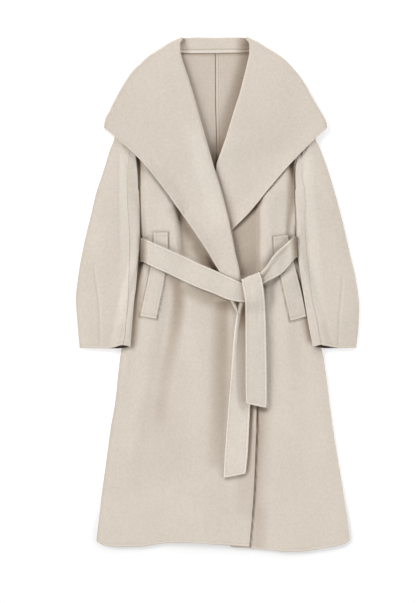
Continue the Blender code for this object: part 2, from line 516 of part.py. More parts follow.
def build_collar():
    """One sheet from lapel tip to lapel tip.

    Stations a run from the right lapel's tip up its roll line, over the right
    shoulder, across the back, over the left shoulder and down to the left
    lapel's tip.  Across each station the sheet leaves the neck seam, stands,
    turns over at the roll and falls to its outer edge.  On the fronts the
    fall lies on top; behind, it lies on the floor under the back; over the
    shoulders both stand and fall turn over in a half circle.
    """
    inset = (1.5 * STEP + CLOTH / 2) / SQUARE      # silhouette to fold axis
    roll_in = (STEP / 2 + CLOTH / 2) / SQUARE
    fall = spaced(6, 0.1)
    front = STATIONS
    behind = spaced(9, 0.3)

    def axis(points, side):
        p = side_step(points, side * inset)
        p[0] = points[0] + [0.9 * side, 2.3]
        return p

    axis_r = axis(OVER_R, +1)
    axis_l = axis(OVER_L, -1)
    axis_r[-1] = OVER_R[-1] + [2.7, -0.3]
    axis_l[-1] = OVER_L[-1] - [2.7, 0.3]

    def turn_in(points, level, low):
        """Half the height of the roll at the points of a roll line, in squares."""
        u, v = points[:, 0], points[:, 1]
        return ((0.5 * (level(u, v) - low(u, v)) + CLOTH / 2) / SQUARE)[:, None]

    roll_r = side_step(ROLL_R, -turn_in(ROLL_R, top_lapel_level, top_front_level))
    roll_l = side_step(ROLL_L, +turn_in(ROLL_L, under_lapel_level, under_front_level))
    roll_r[0], roll_l[0] = axis_r[0], axis_l[0]
    top = NECK_TOP + [[0, roll_in]]
    top[0], top[-1] = axis_r[0], axis_l[0]
    brim_r, brim_l = BRIM_R.copy(), BRIM_L.copy()
    brim_r[0], brim_l[0] = axis_r[-1], axis_l[-1]
    cols = np.linspace(axis_r[-1][0], axis_l[-1][0], 9)
    brim_b = np.stack([cols, fall_row(cols)], axis=1)
    brim_b[0], brim_b[-1] = axis_r[-1], axis_l[-1]

    # plan of the fall: stations x fall fractions
    tip_r = edge(roll_r[-1], brim_r[-1])
    tip_l = edge(roll_l[-1], brim_l[-1])
    plan_r = np.swapaxes(patch(roll_r[::-1], brim_r[::-1], tip_r, axis_r, front, fall), 0, 1)
    plan_b = np.swapaxes(patch(top, brim_b, axis_r, axis_l, behind, fall), 0, 1)
    plan_l = np.swapaxes(patch(roll_l, brim_l, axis_l, tip_l, 1 - front[::-1], fall), 0, 1)
    seam_r = run(SEAM_R[::-1], front)
    seam_b = run(NECK_BACK, behind)
    seam_l = run(SEAM_L, 1 - front[::-1])

    stations = []                                   # plan, seam, side, angle

    def add(plan, seam, side, angles, outward):
        for angle in angles:
            stations.append((plan, seam, side, angle, outward))

    def outward(line, side):
        t = np.gradient(line, axis=0)
        t /= np.linalg.norm(t, axis=1, keepdims=True)
        return side * np.stack([t[:, 1], -t[:, 0]], axis=1)

    turn = [60, 30, 0, -30, -60]
    for k in range(len(front)):
        add(plan_r[k], seam_r[k], "right", [90], None)
    add(plan_r[-1], seam_r[-1], "right", turn, outward(plan_r[-1], -1))
    for k in range(len(behind)):
        add(plan_b[k], seam_b[k], "back", [-90], None)
    add(plan_l[0], seam_l[0], "left", turn[::-1], outward(plan_l[0], +1))
    for k in range(len(front)):
        add(plan_l[k], seam_l[k], "left", [90], None)

    def fronts(side, u, v):
        if side == "right":
            return top_front_level(u, v), top_lapel_level(u, v)
        return under_front_level(u, v), under_lapel_level(u, v)

    # the way each station's roll bulges: square to the roll line, and turned
    # evenly from one to the other over each shoulder fold
    starts = np.array([st[0][0] for st in stations])
    angles = np.array([st[3] for st in stations])
    bulges = np.zeros_like(starts)
    nf, nb, nt = len(front), len(behind), len(turn)
    for a, b, way in ((0, nf, -1), (nf + nt, nf + nt + nb, 1), (nf + 2 * nt + nb, 2 * nf + 2 * nt + nb, -1)):
        t = np.gradient(starts[a:b], axis=0)
        t /= np.linalg.norm(t, axis=1, keepdims=True)
        bulges[a:b] = way * np.stack([t[:, 1], -t[:, 0]], axis=1)
    for a in (nf, nf + nt + nb):
        for k in range(nt):
            w = (k + 1) / (nt + 1)
            both = bulges[a - 1] * (1 - w) + bulges[a + nt] * w
            bulges[a + k] = both / np.linalg.norm(both)

    rows = []
    for (plan, seam, side, angle, out), away in zip(stations, bulges):
        start = plan[0]
        # stand: neck seam to roll; fall: roll to outer edge
        stand = seam + (start - seam) * np.array([[0.0], [0.5], [1.0]])

        def place(points, is_fall):
            u, v = points[:, 0], points[:, 1]
            behind_z = np.full(len(u), CLOTH / 2) if is_fall else back_level(u, v)
            if side == "back":
                return to_metres(u, v, behind_z)
            front_z = fronts(side, u, v)[1 if is_fall else 0]
            if angle == 90:
                return to_metres(u, v, front_z)
            if is_fall:
                o = out
            else:
                up = start - seam
                o = np.array([[up[1], -up[0]]]) / np.linalg.norm(up)
                o = o * np.sign(np.sum(o * out[:1]))
            rad = 0.5 * (front_z - behind_z)
            th = math.radians(angle)
            shift = o * (rad * math.cos(th) / SQUARE)[:, None]
            return to_metres(u + shift[:, 0], v + shift[:, 1], 0.5 * (front_z + behind_z) + rad * math.sin(th))

        inner, outer = place(stand, False), place(plan, True)
        chord = outer[0] - inner[-1]
        bulge = np.array([away[0], -away[1], 0.0])
        bulge -= chord * np.dot(bulge, chord) / np.dot(chord, chord)
        bulge /= np.linalg.norm(bulge)
        radius = 0.5 * np.linalg.norm(chord)
        middle = 0.5 * (outer[0] + inner[-1])
        ring = [middle - 0.5 * chord * math.cos(w) + bulge * radius * math.sin(w)
                for w in np.radians([36, 72, 108, 144])]
        rows.append(np.concatenate([inner, ring, outer]))
    # the cloth is pressed thinner where roll and shoulder fold cross
    crossing = np.array([1.0 if a not in (90, -90) else 0.0 for a in angles])
    crossing = np.maximum(crossing, np.maximum(np.roll(crossing, 1), np.roll(crossing, -1)))
    turned = np.zeros(len(rows[0]))
    turned[1:10] = 1.0
    thick = CLOTH * (1 - 0.36 * crossing[:, None] * turned[None, :])
    return sheet("collar", np.array(rows), thick)


# ---------------------------------------------------------------- the sleeves


def build_sleeve(side):
    """A flattened tube from the armhole to the cuff, in an upper and an under
    piece: the front seam runs down the upper face beside the inner edge, the
    back seam under the outer edge."""
    right = side == "right"
    hole, inn, out, cuff, body = ((ARMHOLE_R, SLEEVE_IN_R, SLEEVE_OUT_R, CUFF_R, SIDE_R) if right else
                                  (ARMHOLE_L, SLEEVE_IN_L, SLEEVE_OUT_L, CUFF_L, SIDE_L))
    sign = 1.0 if right else -1.0                    # +1: the body is at higher columns
    rim = hole - [[sign * 0.6, 0]]
    rim[0], rim[-1] = out[0], inn[0]
    inset = (STEP / 2 + CLOTH / 2) / SQUARE

    def rest(u, v):
        """Level of the under face's middle: floor, collar fall, body's edge."""
        edge_u = at_row(body, v)
        over = smooth(((u - edge_u) * sign + 13.0) / 10.0) * smooth((v - 200.0) / 62.0)
        on_fall = smooth((fall_row(u) + 2.0 + FALL_RAMP - v) / FALL_RAMP)
        ground = CLOTH / 2 + STEP * on_fall
        body_top = highest(front_top, np.maximum(u * sign, edge_u * sign) * sign, v, 3.0) + AIR + CLOTH / 2
        return ground + (body_top - ground) * over

    rows = spaced(12, 0.1)
    cols = np.linspace(0, 1, 9)
    flat = patch(rim, cuff, out, inn, cols, rows)    # outer edge -> inner edge

    def off_edge(line, inside):
        t = np.gradient(line, axis=0)
        nn = np.stack([t[:, 1], -t[:, 0]], axis=1)
        nn /= np.linalg.norm(nn, axis=1, keepdims=True)
        return nn * np.sign(np.sum(nn * (line - inside), axis=1, keepdims=True))

    out_n, in_n = off_edge(flat[:, 0], flat[:, 4]), off_edge(flat[:, -1], flat[:, 4])
    frac = cols[None, :, None]
    plan = flat - inset * (out_n[:, None] * (1 - frac) + in_n[:, None] * frac)
    width = float(np.mean(np.linalg.norm(plan[:, -1] - plan[:, 0], axis=1)))
    full = 2.6 * np.sin(np.pi * cols) ** 0.8
    down = smooth(rows / 0.25) * (0.55 + 0.45 * smooth((1.0 - rows) / 0.12))
    seam_at = 0.16                                   # front seam, from the inner edge
    back_at = 0.14                                   # back seam, under the outer edge

    def place(across, layer, angle=None):
        """Line of points down the sleeve: layer +1 upper, -1 under, or an
        angle on the half circle of an edge fold."""
        c = np.array([[np.interp(across, cols, plan[i, :, k]) for k in (0, 1)] for i in range(len(rows))])
        u, v = c[:, 0], c[:, 1]
        low = rest(u, v)
        if angle is None:
            return to_metres(u, v, low if layer < 0 else low + STEP + np.interp(across, cols, full) * down)
        off = (out_n if across < 0.5 else in_n) * STEP / 2 / SQUARE
        th = math.radians(angle)
        return to_metres(u + off[:, 0] * math.cos(th), v + off[:, 1] * math.cos(th),
                         low + STEP / 2 * (1 + math.sin(th)))

    half = (SEAM + 0.2) / SQUARE / width / 2
    upper = [place(f, +1) for f in np.linspace(1 - seam_at - half, 0, 6)]
    upper += [place(0.0, 0, a) for a in (45, 0, -45)]
    upper += [place(f, -1) for f in (0.0, back_at - half)]
    under = [place(f, -1) for f in np.linspace(back_at + half, 1.0, 6)]
    under += [place(1.0, 0, a) for a in (-45, 0, 45)]
    under += [place(f, +1) for f in (1.0, 1 - seam_at + half)]
    upper, under = np.array(upper), np.array(under)
    n_up, n_low = facing(upper), facing(under)
    for i, j in ((0, -1), (-1, 0)):                  # the same slope on both sides of a seam
        both = n_up[i] + n_low[j]
        both = np.stack([np.convolve(np.pad(both[:, k], 2, mode="edge"), np.ones(5) / 5, mode="valid")
                         for k in range(3)], axis=1)
        both /= np.linalg.norm(both, axis=1, keepdims=True)
        n_up[i] = n_low[j] = both
    sheet("sleeve_%s_upper" % side, upper, CLOTH, n_up)
    sheet("sleeve_%s_under" % side, under, CLOTH, n_low)


# ------------------------------------------------------- welts, belt and tails


def inside_welt(u, v):
    """1 on a welt, 0 away from it, soft over a few squares."""
    total = 0.0
    for welt in (WELT_R, WELT_L):
        left = np.array([r["left"] for r in welt], float)
        right = np.array([r["right"] for r in welt], float)
        vv = np.clip(v, left[0, 1], left[-1, 1])
        a = smooth((u - at_row(left, vv) + 9) / 7) * smooth((at_row(right, vv) + 9 - u) / 7)
        b = smooth((v - left[0, 1] + 9) / 7) * smooth((left[-1, 1] + 11 - v) / 7)
        total = total + a * b
    return total


def under_belt(u, v):
    """What the belt lies on: the fronts, the welts and the lapel's tip on them."""
    tip_row = along(BRIM_TIP[:, 0], BRIM_TIP[:, 1], u)
    on_tip = smooth((tip_row + 10 - v) / 7) * smooth((u - 205) / 8) * smooth((250 - u) / 8)
    return front_top(u, v) + STEP * inside_welt(u, v) + STEP * on_tip


BRIM_TIP = edge((206, 251), (219.5, 272), (234.4, 281), (241, 281.5), (250, 276))


def under_band(u, v):
    """The same, with room for the knot's turn between the band and the coat."""
    room = smooth((u - 219) / 10) * smooth((277 - u) / 10)
    return under_belt(u, v) + BELT_STEP * room


def rails(table, first, second, steps):
    a = np.array([r[first] for r in table], float)
    b = np.array([r[second] for r in table], float)
    k = np.arange(len(table), dtype=float)
    q = np.linspace(0, len(table) - 1, (len(table) - 1) * steps + 1)
    return (np.stack([along(k, a[:, 0], q), along(k, a[:, 1], q)], axis=1),
            np.stack([along(k, b[:, 0], q), along(k, b[:, 1], q)], axis=1), q)


def build_welt(name, table):
    a, b, _ = rails(table, "left", "right", 2)
    f = np.array([0.0, 0.5, 1.0])
    g = a[:, None] + (b - a)[:, None] * f[None, :, None]
    u, v = g[..., 0], g[..., 1]
    z = highest(front_top, u, v, 3.5) + AIR + CLOTH / 2
    return sheet(name, to_metres(u, v, z), CLOTH)


BELT_LINE = {}


def knot_low():
    """Level of the knot's turn where it passes between the band and the coat."""
    ends = np.array([r[k] for r in KNOT[:3] for k in ("left", "right")], float)
    return float(np.max(highest(under_belt, ends[:, 0], ends[:, 1], 4.0))) + AIR + BELT / 2


def build_band():
    """The belt's stretch round the waist, one strip through front and back."""
    up = np.array([r["up"] for r in BAND], float)
    low = np.array([r["low"] for r in BAND], float)
    lie = [r["lie"] for r in BAND]
    across = np.array([0.0, 0.5, 1.0])
    rows, tops = [], []
    z_front = []
    for k in range(len(BAND)):
        u = up[k, 0] + (low[k, 0] - up[k, 0]) * np.linspace(0, 1, 7)
        v = up[k, 1] + (low[k, 1] - up[k, 1]) * np.linspace(0, 1, 7)
        z_front.append(float(np.max(highest(under_band, u, v, 5.0))) + AIR + BELT / 2)
    z_front = np.array(z_front)
    for k in range(len(BAND)):
        if lie[k] == "front" and 238 < up[k, 0] < 268:
            z_front[k] = max(z_front[k], knot_low() + BELT_STEP)
    first = [k for k in range(len(BAND)) if lie[k] == "front" and k < 10]
    second = [k for k in range(len(BAND)) if lie[k] == "front" and k > 10]
    for group in (first, second):
        z_front[group] = even_out(z_front[group], 2)
    for k in range(len(BAND)):
        c_u = up[k, 0] + (low[k, 0] - up[k, 0]) * across
        c_v = up[k, 1] + (low[k, 1] - up[k, 1]) * across
        if lie[k] == "front":
            rows.append(to_metres(c_u, c_v, np.full(3, z_front[k])))
            tops.append((0.5 * (up[k] + low[k]), z_front[k] + BELT / 2))
        elif lie[k] == "back":
            rows.append(to_metres(c_u, c_v, np.full(3, BELT / 2)))
        else:
            near = k - 1 if k < 10 else k + 1
            high = z_front[near]
            rad = 0.5 * (high - BELT / 2)
            sign = -1.0 if k < 10 else 1.0
            reach = 0.95 * BELT                       # how far the turn stands out
            turn = (70, 35, 0, -35, -70) if k < 10 else (-70, -35, 0, 35, 70)
            for a in turn:
                th = math.radians(a)
                rows.append(to_metres(c_u + sign * reach * math.cos(th) / SQUARE, c_v,
                                      np.full(3, 0.5 * (high + BELT / 2) + rad * math.sin(th))))
    BELT_LINE["tops"] = tops
    return sheet("belt_band", np.array(rows), BELT)


def band_top(u, v):
    """Upper face of the belt's front stretches, or of the coat beside them."""
    ground = under_belt(u, v)
    total = np.zeros_like(np.asarray(u, float))
    up = np.array([r["up"] for r in BAND], float)
    low = np.array([r["low"] for r in BAND], float)
    left = [k for k in range(len(BAND)) if BAND[k]["lie"] == "front" and k < 10]
    right = [k for k in range(len(BAND)) if BAND[k]["lie"] == "front" and k > 10]
    top_line = np.concatenate([up[left][::-1], up[right][::-1][2:]])
    low_line = np.concatenate([low[left][::-1], low[right][::-1][2:]])
    tops = dict((tuple(c), z) for c, z in BELT_LINE["tops"])
    cols = np.array([c[0] for c, _ in BELT_LINE["tops"]])
    zs = np.array([z for _, z in BELT_LINE["tops"]])
    order = np.argsort(cols)
    z_here = np.interp(u, cols[order], zs[order])
    inside = ((v > along(top_line[:, 0], top_line[:, 1], u) - 4)
              & (v < along(low_line[:, 0], low_line[:, 1], u) + 4))
    return np.where(inside, np.maximum(z_here, ground), ground) + total


def lay_strip(table, level, reach, clearance, steps, smoothing):
    a, b, q = rails(table, "left", "right", steps)
    f = np.linspace(0, 1, 5)
    g = a[:, None] + (b - a)[:, None] * f[None, :, None]
    z = highest(level, g[..., 0], g[..., 1], reach).max(axis=1) + clearance
    return a, b, q, even_out(z, smoothing)


def build_tails():
    under_a, under_b, _, under_z = lay_strip(UNDER_TAIL, under_belt, 3.0, AIR + BELT / 2, 2, 1)
    # the second end starts under the band: it lies between band and coat there
    f = np.array([0.0, 0.5, 1.0])
    a, b, z = under_a, under_b, under_z
    g = a[:, None] + (b - a)[:, None] * f[None, :, None]
    zz = np.repeat(z[:, None], 3, axis=1)
    sheet("belt_tail_under", to_metres(g[..., 0], g[..., 1], zz), BELT)

    rows_l = np.array([r["left"] for r in UNDER_TAIL], float)
    rows_r = np.array([r["right"] for r in UNDER_TAIL], float)

    def tail_top(u, v):
        base = band_top(u, v)
        vv = np.clip(v, rows_l[0, 1], rows_l[-1, 1])
        on = ((u > at_row(rows_l, vv) - 4) & (u < at_row(rows_r, vv) + 4)
              & (v > rows_l[0, 1]) & (v < rows_l[-1, 1] + 4))
        level = np.interp(v, under_a[:, 1], under_z) + BELT / 2
        return np.where(on, np.maximum(base, level), base)

    lie = [r["lie"] for r in KNOT]
    over = [r for r in KNOT if r["lie"] in ("over", "tail")]
    a, b, q, z = lay_strip(over, tail_top, 3.5, AIR + BELT / 2, 2, 2)
    rows = []
    # behind the band: between the band and the coat
    first = [r for r in KNOT if r["lie"] == "under"]
    f = np.array([0.0, 1 / 3, 2 / 3, 1.0])
    z_low = knot_low()
    for r in first:
        l, s = np.array(r["left"], float), np.array(r["right"], float)
        p = l + (s - l) * f[:, None]
        rows.append(to_metres(p[:, 0], p[:, 1], np.full(4, z_low)))
    t = [r for r in KNOT if r["lie"] == "turn"][0]
    l, s = np.array(t["left"], float), np.array(t["right"], float)
    up = np.array([s[1] - l[1], -(s[0] - l[0])])
    up /= np.linalg.norm(up)
    z_high = z[0]
    rad = 0.5 * (z_high - z_low)
    for angle in (-70, -35, 0, 35, 70):
        th = math.radians(angle)
        p = l + (s - l) * f[:, None] + up * (0.9 * BELT * math.cos(th) - 0.6 * BELT) / SQUARE
        rows.append(to_metres(p[:, 0], p[:, 1], np.full(4, z_low + rad * (1 + math.sin(th)))))
    for k in range(len(a)):
        p = a[k] + (b[k] - a[k]) * f[:, None]
        rows.append(to_metres(p[:, 0], p[:, 1], np.full(4, z[k])))
    sheet("belt_knot_tail", np.array(rows), BELT)


# -------------------------------------------------------------------- assembly


def main():
    for obj in list(bpy.data.objects):
        bpy.data.objects.remove(obj, do_unlink=True)
    cloth.use_nodes = True
    shader = cloth.node_tree.nodes["Principled BSDF"]
    shader.inputs["Base Color"].default_value = CLOTH_COLOUR
    shader.inputs["Roughness"].default_value = 0.95
    shader.inputs["Metallic"].default_value = 0.0
    build_panels()
    build_collar()
    build_sleeve("right")
    build_sleeve("left")
    build_welt("welt_right", WELT_R)
    build_welt("welt_left", WELT_L)
    build_band()
    build_tails()


main()
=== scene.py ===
"""Wool wrap coat with a shawl collar and a tie belt, laid flat with its front up.

Every piece is a thin closed shell of cloth on the form of its CAD solid.  The
drafting grid, the outline tables and the levels are those of the CAD part; the
sampling is finer, the edges are rounded, and folds, seams and pressed lines
are worked into the surfaces.  Sides are the wearer's: right lies at -X.
"""
import math

import bpy
import numpy as np
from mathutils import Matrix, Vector


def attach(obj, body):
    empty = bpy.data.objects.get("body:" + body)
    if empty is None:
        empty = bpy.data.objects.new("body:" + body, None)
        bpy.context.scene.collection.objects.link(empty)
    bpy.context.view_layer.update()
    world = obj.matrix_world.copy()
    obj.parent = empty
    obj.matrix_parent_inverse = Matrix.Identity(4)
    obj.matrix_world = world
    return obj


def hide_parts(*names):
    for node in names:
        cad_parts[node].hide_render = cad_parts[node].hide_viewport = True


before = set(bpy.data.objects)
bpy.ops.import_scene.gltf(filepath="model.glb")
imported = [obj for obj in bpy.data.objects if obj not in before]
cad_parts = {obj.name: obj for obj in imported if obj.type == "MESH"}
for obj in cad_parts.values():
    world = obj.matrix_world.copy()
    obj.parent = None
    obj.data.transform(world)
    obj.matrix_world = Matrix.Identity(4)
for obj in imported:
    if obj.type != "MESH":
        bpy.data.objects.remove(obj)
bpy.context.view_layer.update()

# ---------------------------------------------------------------- sizes, mm
SQUARE = 2.4
COL_CENTRE = 218.107
ROW_CENTRE = 294.269
CLOTH = 2.3
AIR = 0.8
STEP = CLOTH + AIR
SEAM = 0.12
BELT = 4.2
BELT_STEP = BELT + AIR
FALL_RAMP = 25.0
PUFF = 5.5            # how far the fronts stand off the back between the sides
FINE = 3.6            # spacing of the fine grids
COARSE = 7.0          # of the ones that hardly show

# distances from an edge at which a sheet gets a row of its own
ROUND = [0.12, 0.4, 0.8, 1.2]
TURNED = ROUND + [2.4, 3.8, 5.2, 6.6, 8.4]

# ------------------------------------------------------------- grid helpers


def smooth(x):
    x = np.clip(x, 0.0, 1.0)
    return x * x * (3.0 - 2.0 * x)


def along(xs, ys, q):
    """Shape-keeping cubic through (xs, ys), held level beyond both ends."""
    xs = np.asarray(xs, float)
    ys = np.asarray(ys, float)
    q = np.clip(np.asarray(q, float), xs[0], xs[-1])
    h = np.diff(xs)
    d = np.diff(ys) / h
    m = np.empty_like(ys)
    m[0], m[-1] = d[0], d[-1]
    for i in range(1, len(xs) - 1):
        if d[i - 1] * d[i] <= 0.0:
            m[i] = 0.0
        else:
            w1, w2 = 2 * h[i] + h[i - 1], h[i] + 2 * h[i - 1]
            m[i] = (w1 + w2) / (w1 / d[i - 1] + w2 / d[i])
    k = np.clip(np.searchsorted(xs, q, side="right") - 1, 0, len(h) - 1)
    t = (q - xs[k]) / h[k]
    return ((1 + 2 * t) * (1 - t) ** 2 * ys[k] + t * (1 - t) ** 2 * h[k] * m[k]
            + t * t * (3 - 2 * t) * ys[k + 1] + t * t * (t - 1) * h[k] * m[k + 1])


def edge(*points):
    return np.array(points, float)


def run(points, s):
    """Points at the fractions s of a smooth line through the given points."""
    p = np.asarray(points, float)
    c = np.concatenate([[0.0], np.cumsum(np.hypot(*np.diff(p, axis=0).T))])
    q = np.asarray(s, float) * c[-1]
    return np.stack([along(c, p[:, 0], q), along(c, p[:, 1], q)], axis=-1)


def side_step(points, distance):
    """The line moved sideways by a distance in squares (left of its run)."""
    p = np.asarray(points, float)
    t = np.gradient(p, axis=0)
    t /= np.linalg.norm(t, axis=1, keepdims=True)
    return p + distance * np.stack([t[:, 1], -t[:, 0]], axis=1)


def length_of(points):
    return float(np.sum(np.hypot(*np.diff(np.asarray(points, float), axis=0).T)))


def join(*lines):
    out = [np.asarray(lines[0], float)]
    for line in lines[1:]:
        line = np.asarray(line, float)
        out.append(line[1:] if np.hypot(*(line[0] - out[-1][-1])) < 1e-6 else line)
    return np.concatenate(out)


def spread(n, length, first=ROUND, last=ROUND):
    """Fractions across widths in mm: set distances by both ends, n even steps between."""
    length = np.atleast_1d(np.asarray(length, float))[:, None]
    first, last = np.asarray(first, float)[None], np.asarray(last, float)[None]
    k = np.minimum(1.0, 0.40 * length / max(first[0, -1], last[0, -1]))
    a, b = first[:, -1:] * k, length - last[:, -1:] * k
    inner = a + (b - a) * np.linspace(0, 1, n + 1)[None]
    return np.concatenate([0 * length, first[:, :-1] * k, inner,
                           length - last[:, -2::-1] * k, length], axis=1) / length


def patch(top, bottom, left, right, s, t, left_at=None, right_at=None):
    """Coons patch; s and t are m x n arrays running right and down."""
    s3, t3 = s[..., None], t[..., None]
    tp, bt = run(top, s), run(bottom, s)
    lf = run(left, t if left_at is None else left_at(t))
    rt = run(right, t if right_at is None else right_at(t))
    a, b, c, d = (np.asarray(x, float)[None, None] for x in (top[0], top[-1], bottom[0], bottom[-1]))
    return ((1 - t3) * tp + t3 * bt + (1 - s3) * lf + s3 * rt
            - ((1 - s3) * (1 - t3) * a + s3 * (1 - t3) * b + (1 - s3) * t3 * c + s3 * t3 * d))


def path_place(u, v, path):
    """Signed distance (positive right of a line that runs down) and the
    length along the line of the nearest point, in squares."""
    p = np.asarray(path, float)
    best = np.full(np.shape(u), 1e9)
    side = np.zeros(np.shape(u))
    at = np.zeros(np.shape(u))
    total = 0.0
    for (x0, y0), (x1, y1) in zip(p[:-1], p[1:]):
        dx, dy = x1 - x0, y1 - y0
        size = math.hypot(dx, dy)
        raw = ((u - x0) * dx + (v - y0) * dy) / size
        t = np.clip(raw, 0, size)
        ex, ey = u - (x0 + dx * t / size), v - (y0 + dy * t / size)
        dist = np.hypot(ex, ey)
        closer = dist < best
        best = np.where(closer, dist, best)
        cross = (u - x0) * dy - (v - y0) * dx
        side = np.where(closer, np.sign(cross), side)
        at = np.where(closer, total + t, at)
        total += size
    return best * side, at, total


def crease(u, v, path, height, left, right, fade_in, fade_out):
    """A soft ridge (height > 0) or trough along a line, in mm."""
    q, s, total = path_place(u, v, path)
    if not np.isscalar(height):
        c = np.concatenate([[0.0], np.cumsum(np.hypot(*np.diff(np.asarray(path, float), axis=0).T))])
        height = np.interp(s, c, height)
    shape = np.where(q < 0, smooth(1 + q / left), smooth(1 - q / right))
    return height * shape * smooth(s / fade_in) * smooth((total - s) / fade_out)


# ------------------------------------------------------------ outline tables
# Each row of a table is one point (column, row) on the drafting grid.

SHOULDER_R = edge((127.2, 86.5), (131, 81.5), (138, 73.5), (148, 66), (158, 60), (165, 55.8), (170.6, 52.8))
SHOULDER_L = edge((303.6, 87), (299.5, 81.9), (292.2, 73.4), (282.6, 65.6), (273, 59.4), (265, 55), (259.2, 52.4))
# neck seam across the back, from fold to fold
NECK_BACK = edge((172.5, 47.5), (175, 50.8), (179, 53), (184, 53.6), (198, 53.7), (215.5, 53.6), (234, 53.2),
                 (246, 53.1), (251, 52.2), (254.8, 50.4), (257.3, 47.2))
ARMHOLE_R = edge((127.2, 86.5), (130, 110), (132.8, 140), (135.9, 155), (137.6, 165), (138.8, 176), (139.7, 190))
ARMHOLE_L = edge((303.6, 87), (302.6, 110), (301.4, 140), (298.6, 153), (295.9, 160), (294.8, 166), (294.3, 176),
                 (294.3, 190))
SIDE_R = edge((139.7, 190), (140.3, 205), (140.7, 220), (140.9, 232), (141.6, 235.6), (142.9, 238.4), (143.2, 250),
              (142.9, 262.2), (139.6, 265.2), (136.9, 276), (133.5, 288),
              (129.5, 302), (126, 322), (123.3, 338), (121.3, 350), (118.7, 370), (115.5, 400), (110.5, 430),
              (106.5, 460), (102.3, 490), (98.8, 520), (96.4, 541))
SIDE_L = edge((294.3, 190), (294.8, 205), (295.5, 225), (295.8, 232), (295.2, 235.4), (294.0, 238), (294.6, 250),
              (295.6, 258.6), (298.2, 265), (301, 276), (304.4, 288),
              (309, 302), (314.5, 322), (318.6, 338), (321.8, 350), (325.4, 370), (329.2, 400), (333.2, 430),
              (338, 460), (343, 490), (347.2, 520), (349.6, 539.6))
CENTRE_BACK = edge((215.5, 53.6), (215.6, 100), (216.4, 130), (217, 160), (217.6, 300), (218, 542.5))
HEM_R = edge((96.4, 541), (105, 545.2), (120, 546.8), (140, 546.6), (155, 544.4), (170, 542.8), (190, 543),
             (210, 544.2), (229, 545.4), (249.6, 547))
HEM_L = edge((186.4, 539.5), (214, 541), (228.5, 543.6), (231, 546.8), (250, 548.2), (270, 549.8), (285, 551.6), (300, 551.3), (320, 548.6),
             (335, 546), (345.4, 543), (349.6, 539.6))
HEM_BACK_R = edge((96.4, 541), (112, 543.6), (140, 543.8), (170, 540.4), (195, 541), (218, 542.5))
HEM_BACK_L = edge((218, 542.5), (250, 545), (285, 548.6), (320, 546.4), (336, 543.6), (349.6, 539.6))

# roll lines of the two lapels (visible fold), from the neck down to the tip
ROLL_R = edge((181.2, 37), (180.2, 44), (180.6, 52), (184, 65), (190, 83), (200, 117), (209.4, 151), (214.6, 169),
              (223.6, 200), (230.8, 230), (237, 260), (241, 281))
ROLL_L = edge((247.6, 36.9), (249, 44), (249, 54), (247, 64), (241, 88), (233, 114), (224, 143), (216.4, 167),
              (209, 190), (203, 215), (199, 240), (197, 262))
NECK_TOP = edge((181.2, 37), (198, 37.6), (216, 37.8), (232, 37.5), (247.6, 36.9))
# folds of the collar over the shoulders, seen as its silhouette
OVER_R = edge((181.2, 37), (170, 42.4), (158, 49.8), (150, 55), (140, 64), (133, 70.6), (125, 82), (116.4, 97),
              (109, 112), (105.3, 119.5), (103.8, 127.2))
OVER_L = edge((247.6, 36.9), (258, 42), (265, 46.6), (272, 50.8), (280, 56), (287.2, 62), (294.4, 70), (301, 78),
              (312, 97), (319.6, 110), (325.6, 120.4), (327.4, 127.0))
# outer edges of the lapels, from the corner down to the tip
BRIM_R = edge((103.8, 127.2), (104.8, 128.9), (107.6, 131.2), (110.4, 133.3), (115.2, 137.2), (120, 141.5), (140, 160), (160, 184), (178, 209), (190, 226), (206, 250),
              (219.5, 272))
BRIM_L = edge((327.4, 127.0), (326.3, 128.7), (322.6, 131.6), (318.4, 135.6), (314.4, 139.6), (310, 144), (290, 164.5), (270, 187.5), (250, 212), (231.5, 231),
              (222, 242), (212, 252), (204, 264))
# neck seam of the fronts, hidden under the lapels beside the roll lines
SEAM_R = edge((172.5, 47.5), (172.8, 54), (174.6, 62), (178, 73), (183.6, 88), (194, 119.5), (204, 153),
              (210, 170.5), (218.4, 202), (225.3, 232), (231, 261), (234.4, 281.5))
SEAM_L = edge((257.3, 47.2), (257.2, 54), (255.4, 62), (252.2, 73), (247.2, 88.5), (239.2, 116), (230, 145),
              (222.4, 168.5), (215, 192), (209, 217), (205, 241), (203.2, 261))
FREE_R = edge((234.4, 283.5), (243, 286), (251, 297), (256.6, 325), (257.8, 360), (257.3, 407), (256, 450),
              (255.1, 475), (253.8, 500), (251.8, 522), (249.6, 546.6))
FREE_L = edge((203.2, 263.2), (196, 272), (188, 290), (182.5, 312), (180, 350), (178.6, 406), (179.2, 455),
              (181, 480), (183, 509), (186.4, 539.5))

SLEEVE_OUT_R = edge((125.2, 88.6), (121.4, 97), (116.8, 112), (114.6, 128), (114.3, 137.4), (109.8, 150.7),
                    (102.3, 174.7), (96.5, 192), (92.3, 209.6), (84, 244.4), (78.7, 273), (75.9, 300),
                    (77, 318.8), (79.6, 347.8))
SLEEVE_IN_R = edge((139.4, 190), (139.9, 205), (140.2, 220), (140.4, 238), (140.2, 250), (139.4, 258),
                   (138.6, 264), (137.2, 275), (136, 288), (134.5, 300), (132, 328), (130.5, 347))
SLEEVE_OUT_L = edge((305.4, 89.2), (308.4, 97.4), (313.2, 112), (315.4, 128), (315.6, 138.5), (319.2, 147), (326.8, 167),
                    (332.2, 184), (338.2, 205), (343.3, 225), (350.6, 257), (355.9, 280), (359.2, 308), (358.2, 330),
                    (356.2, 347.8))
SLEEVE_IN_L = edge((294.7, 190), (295.2, 205), (295.9, 225), (296.5, 240), (297.4, 255), (298.2, 262), (299.4, 270),
                   (302.6, 290), (307.5, 320), (312.6, 346.5))
CUFF_R = edge((79.6, 347.8), (100, 348.4), (120, 348.5), (130.5, 347))
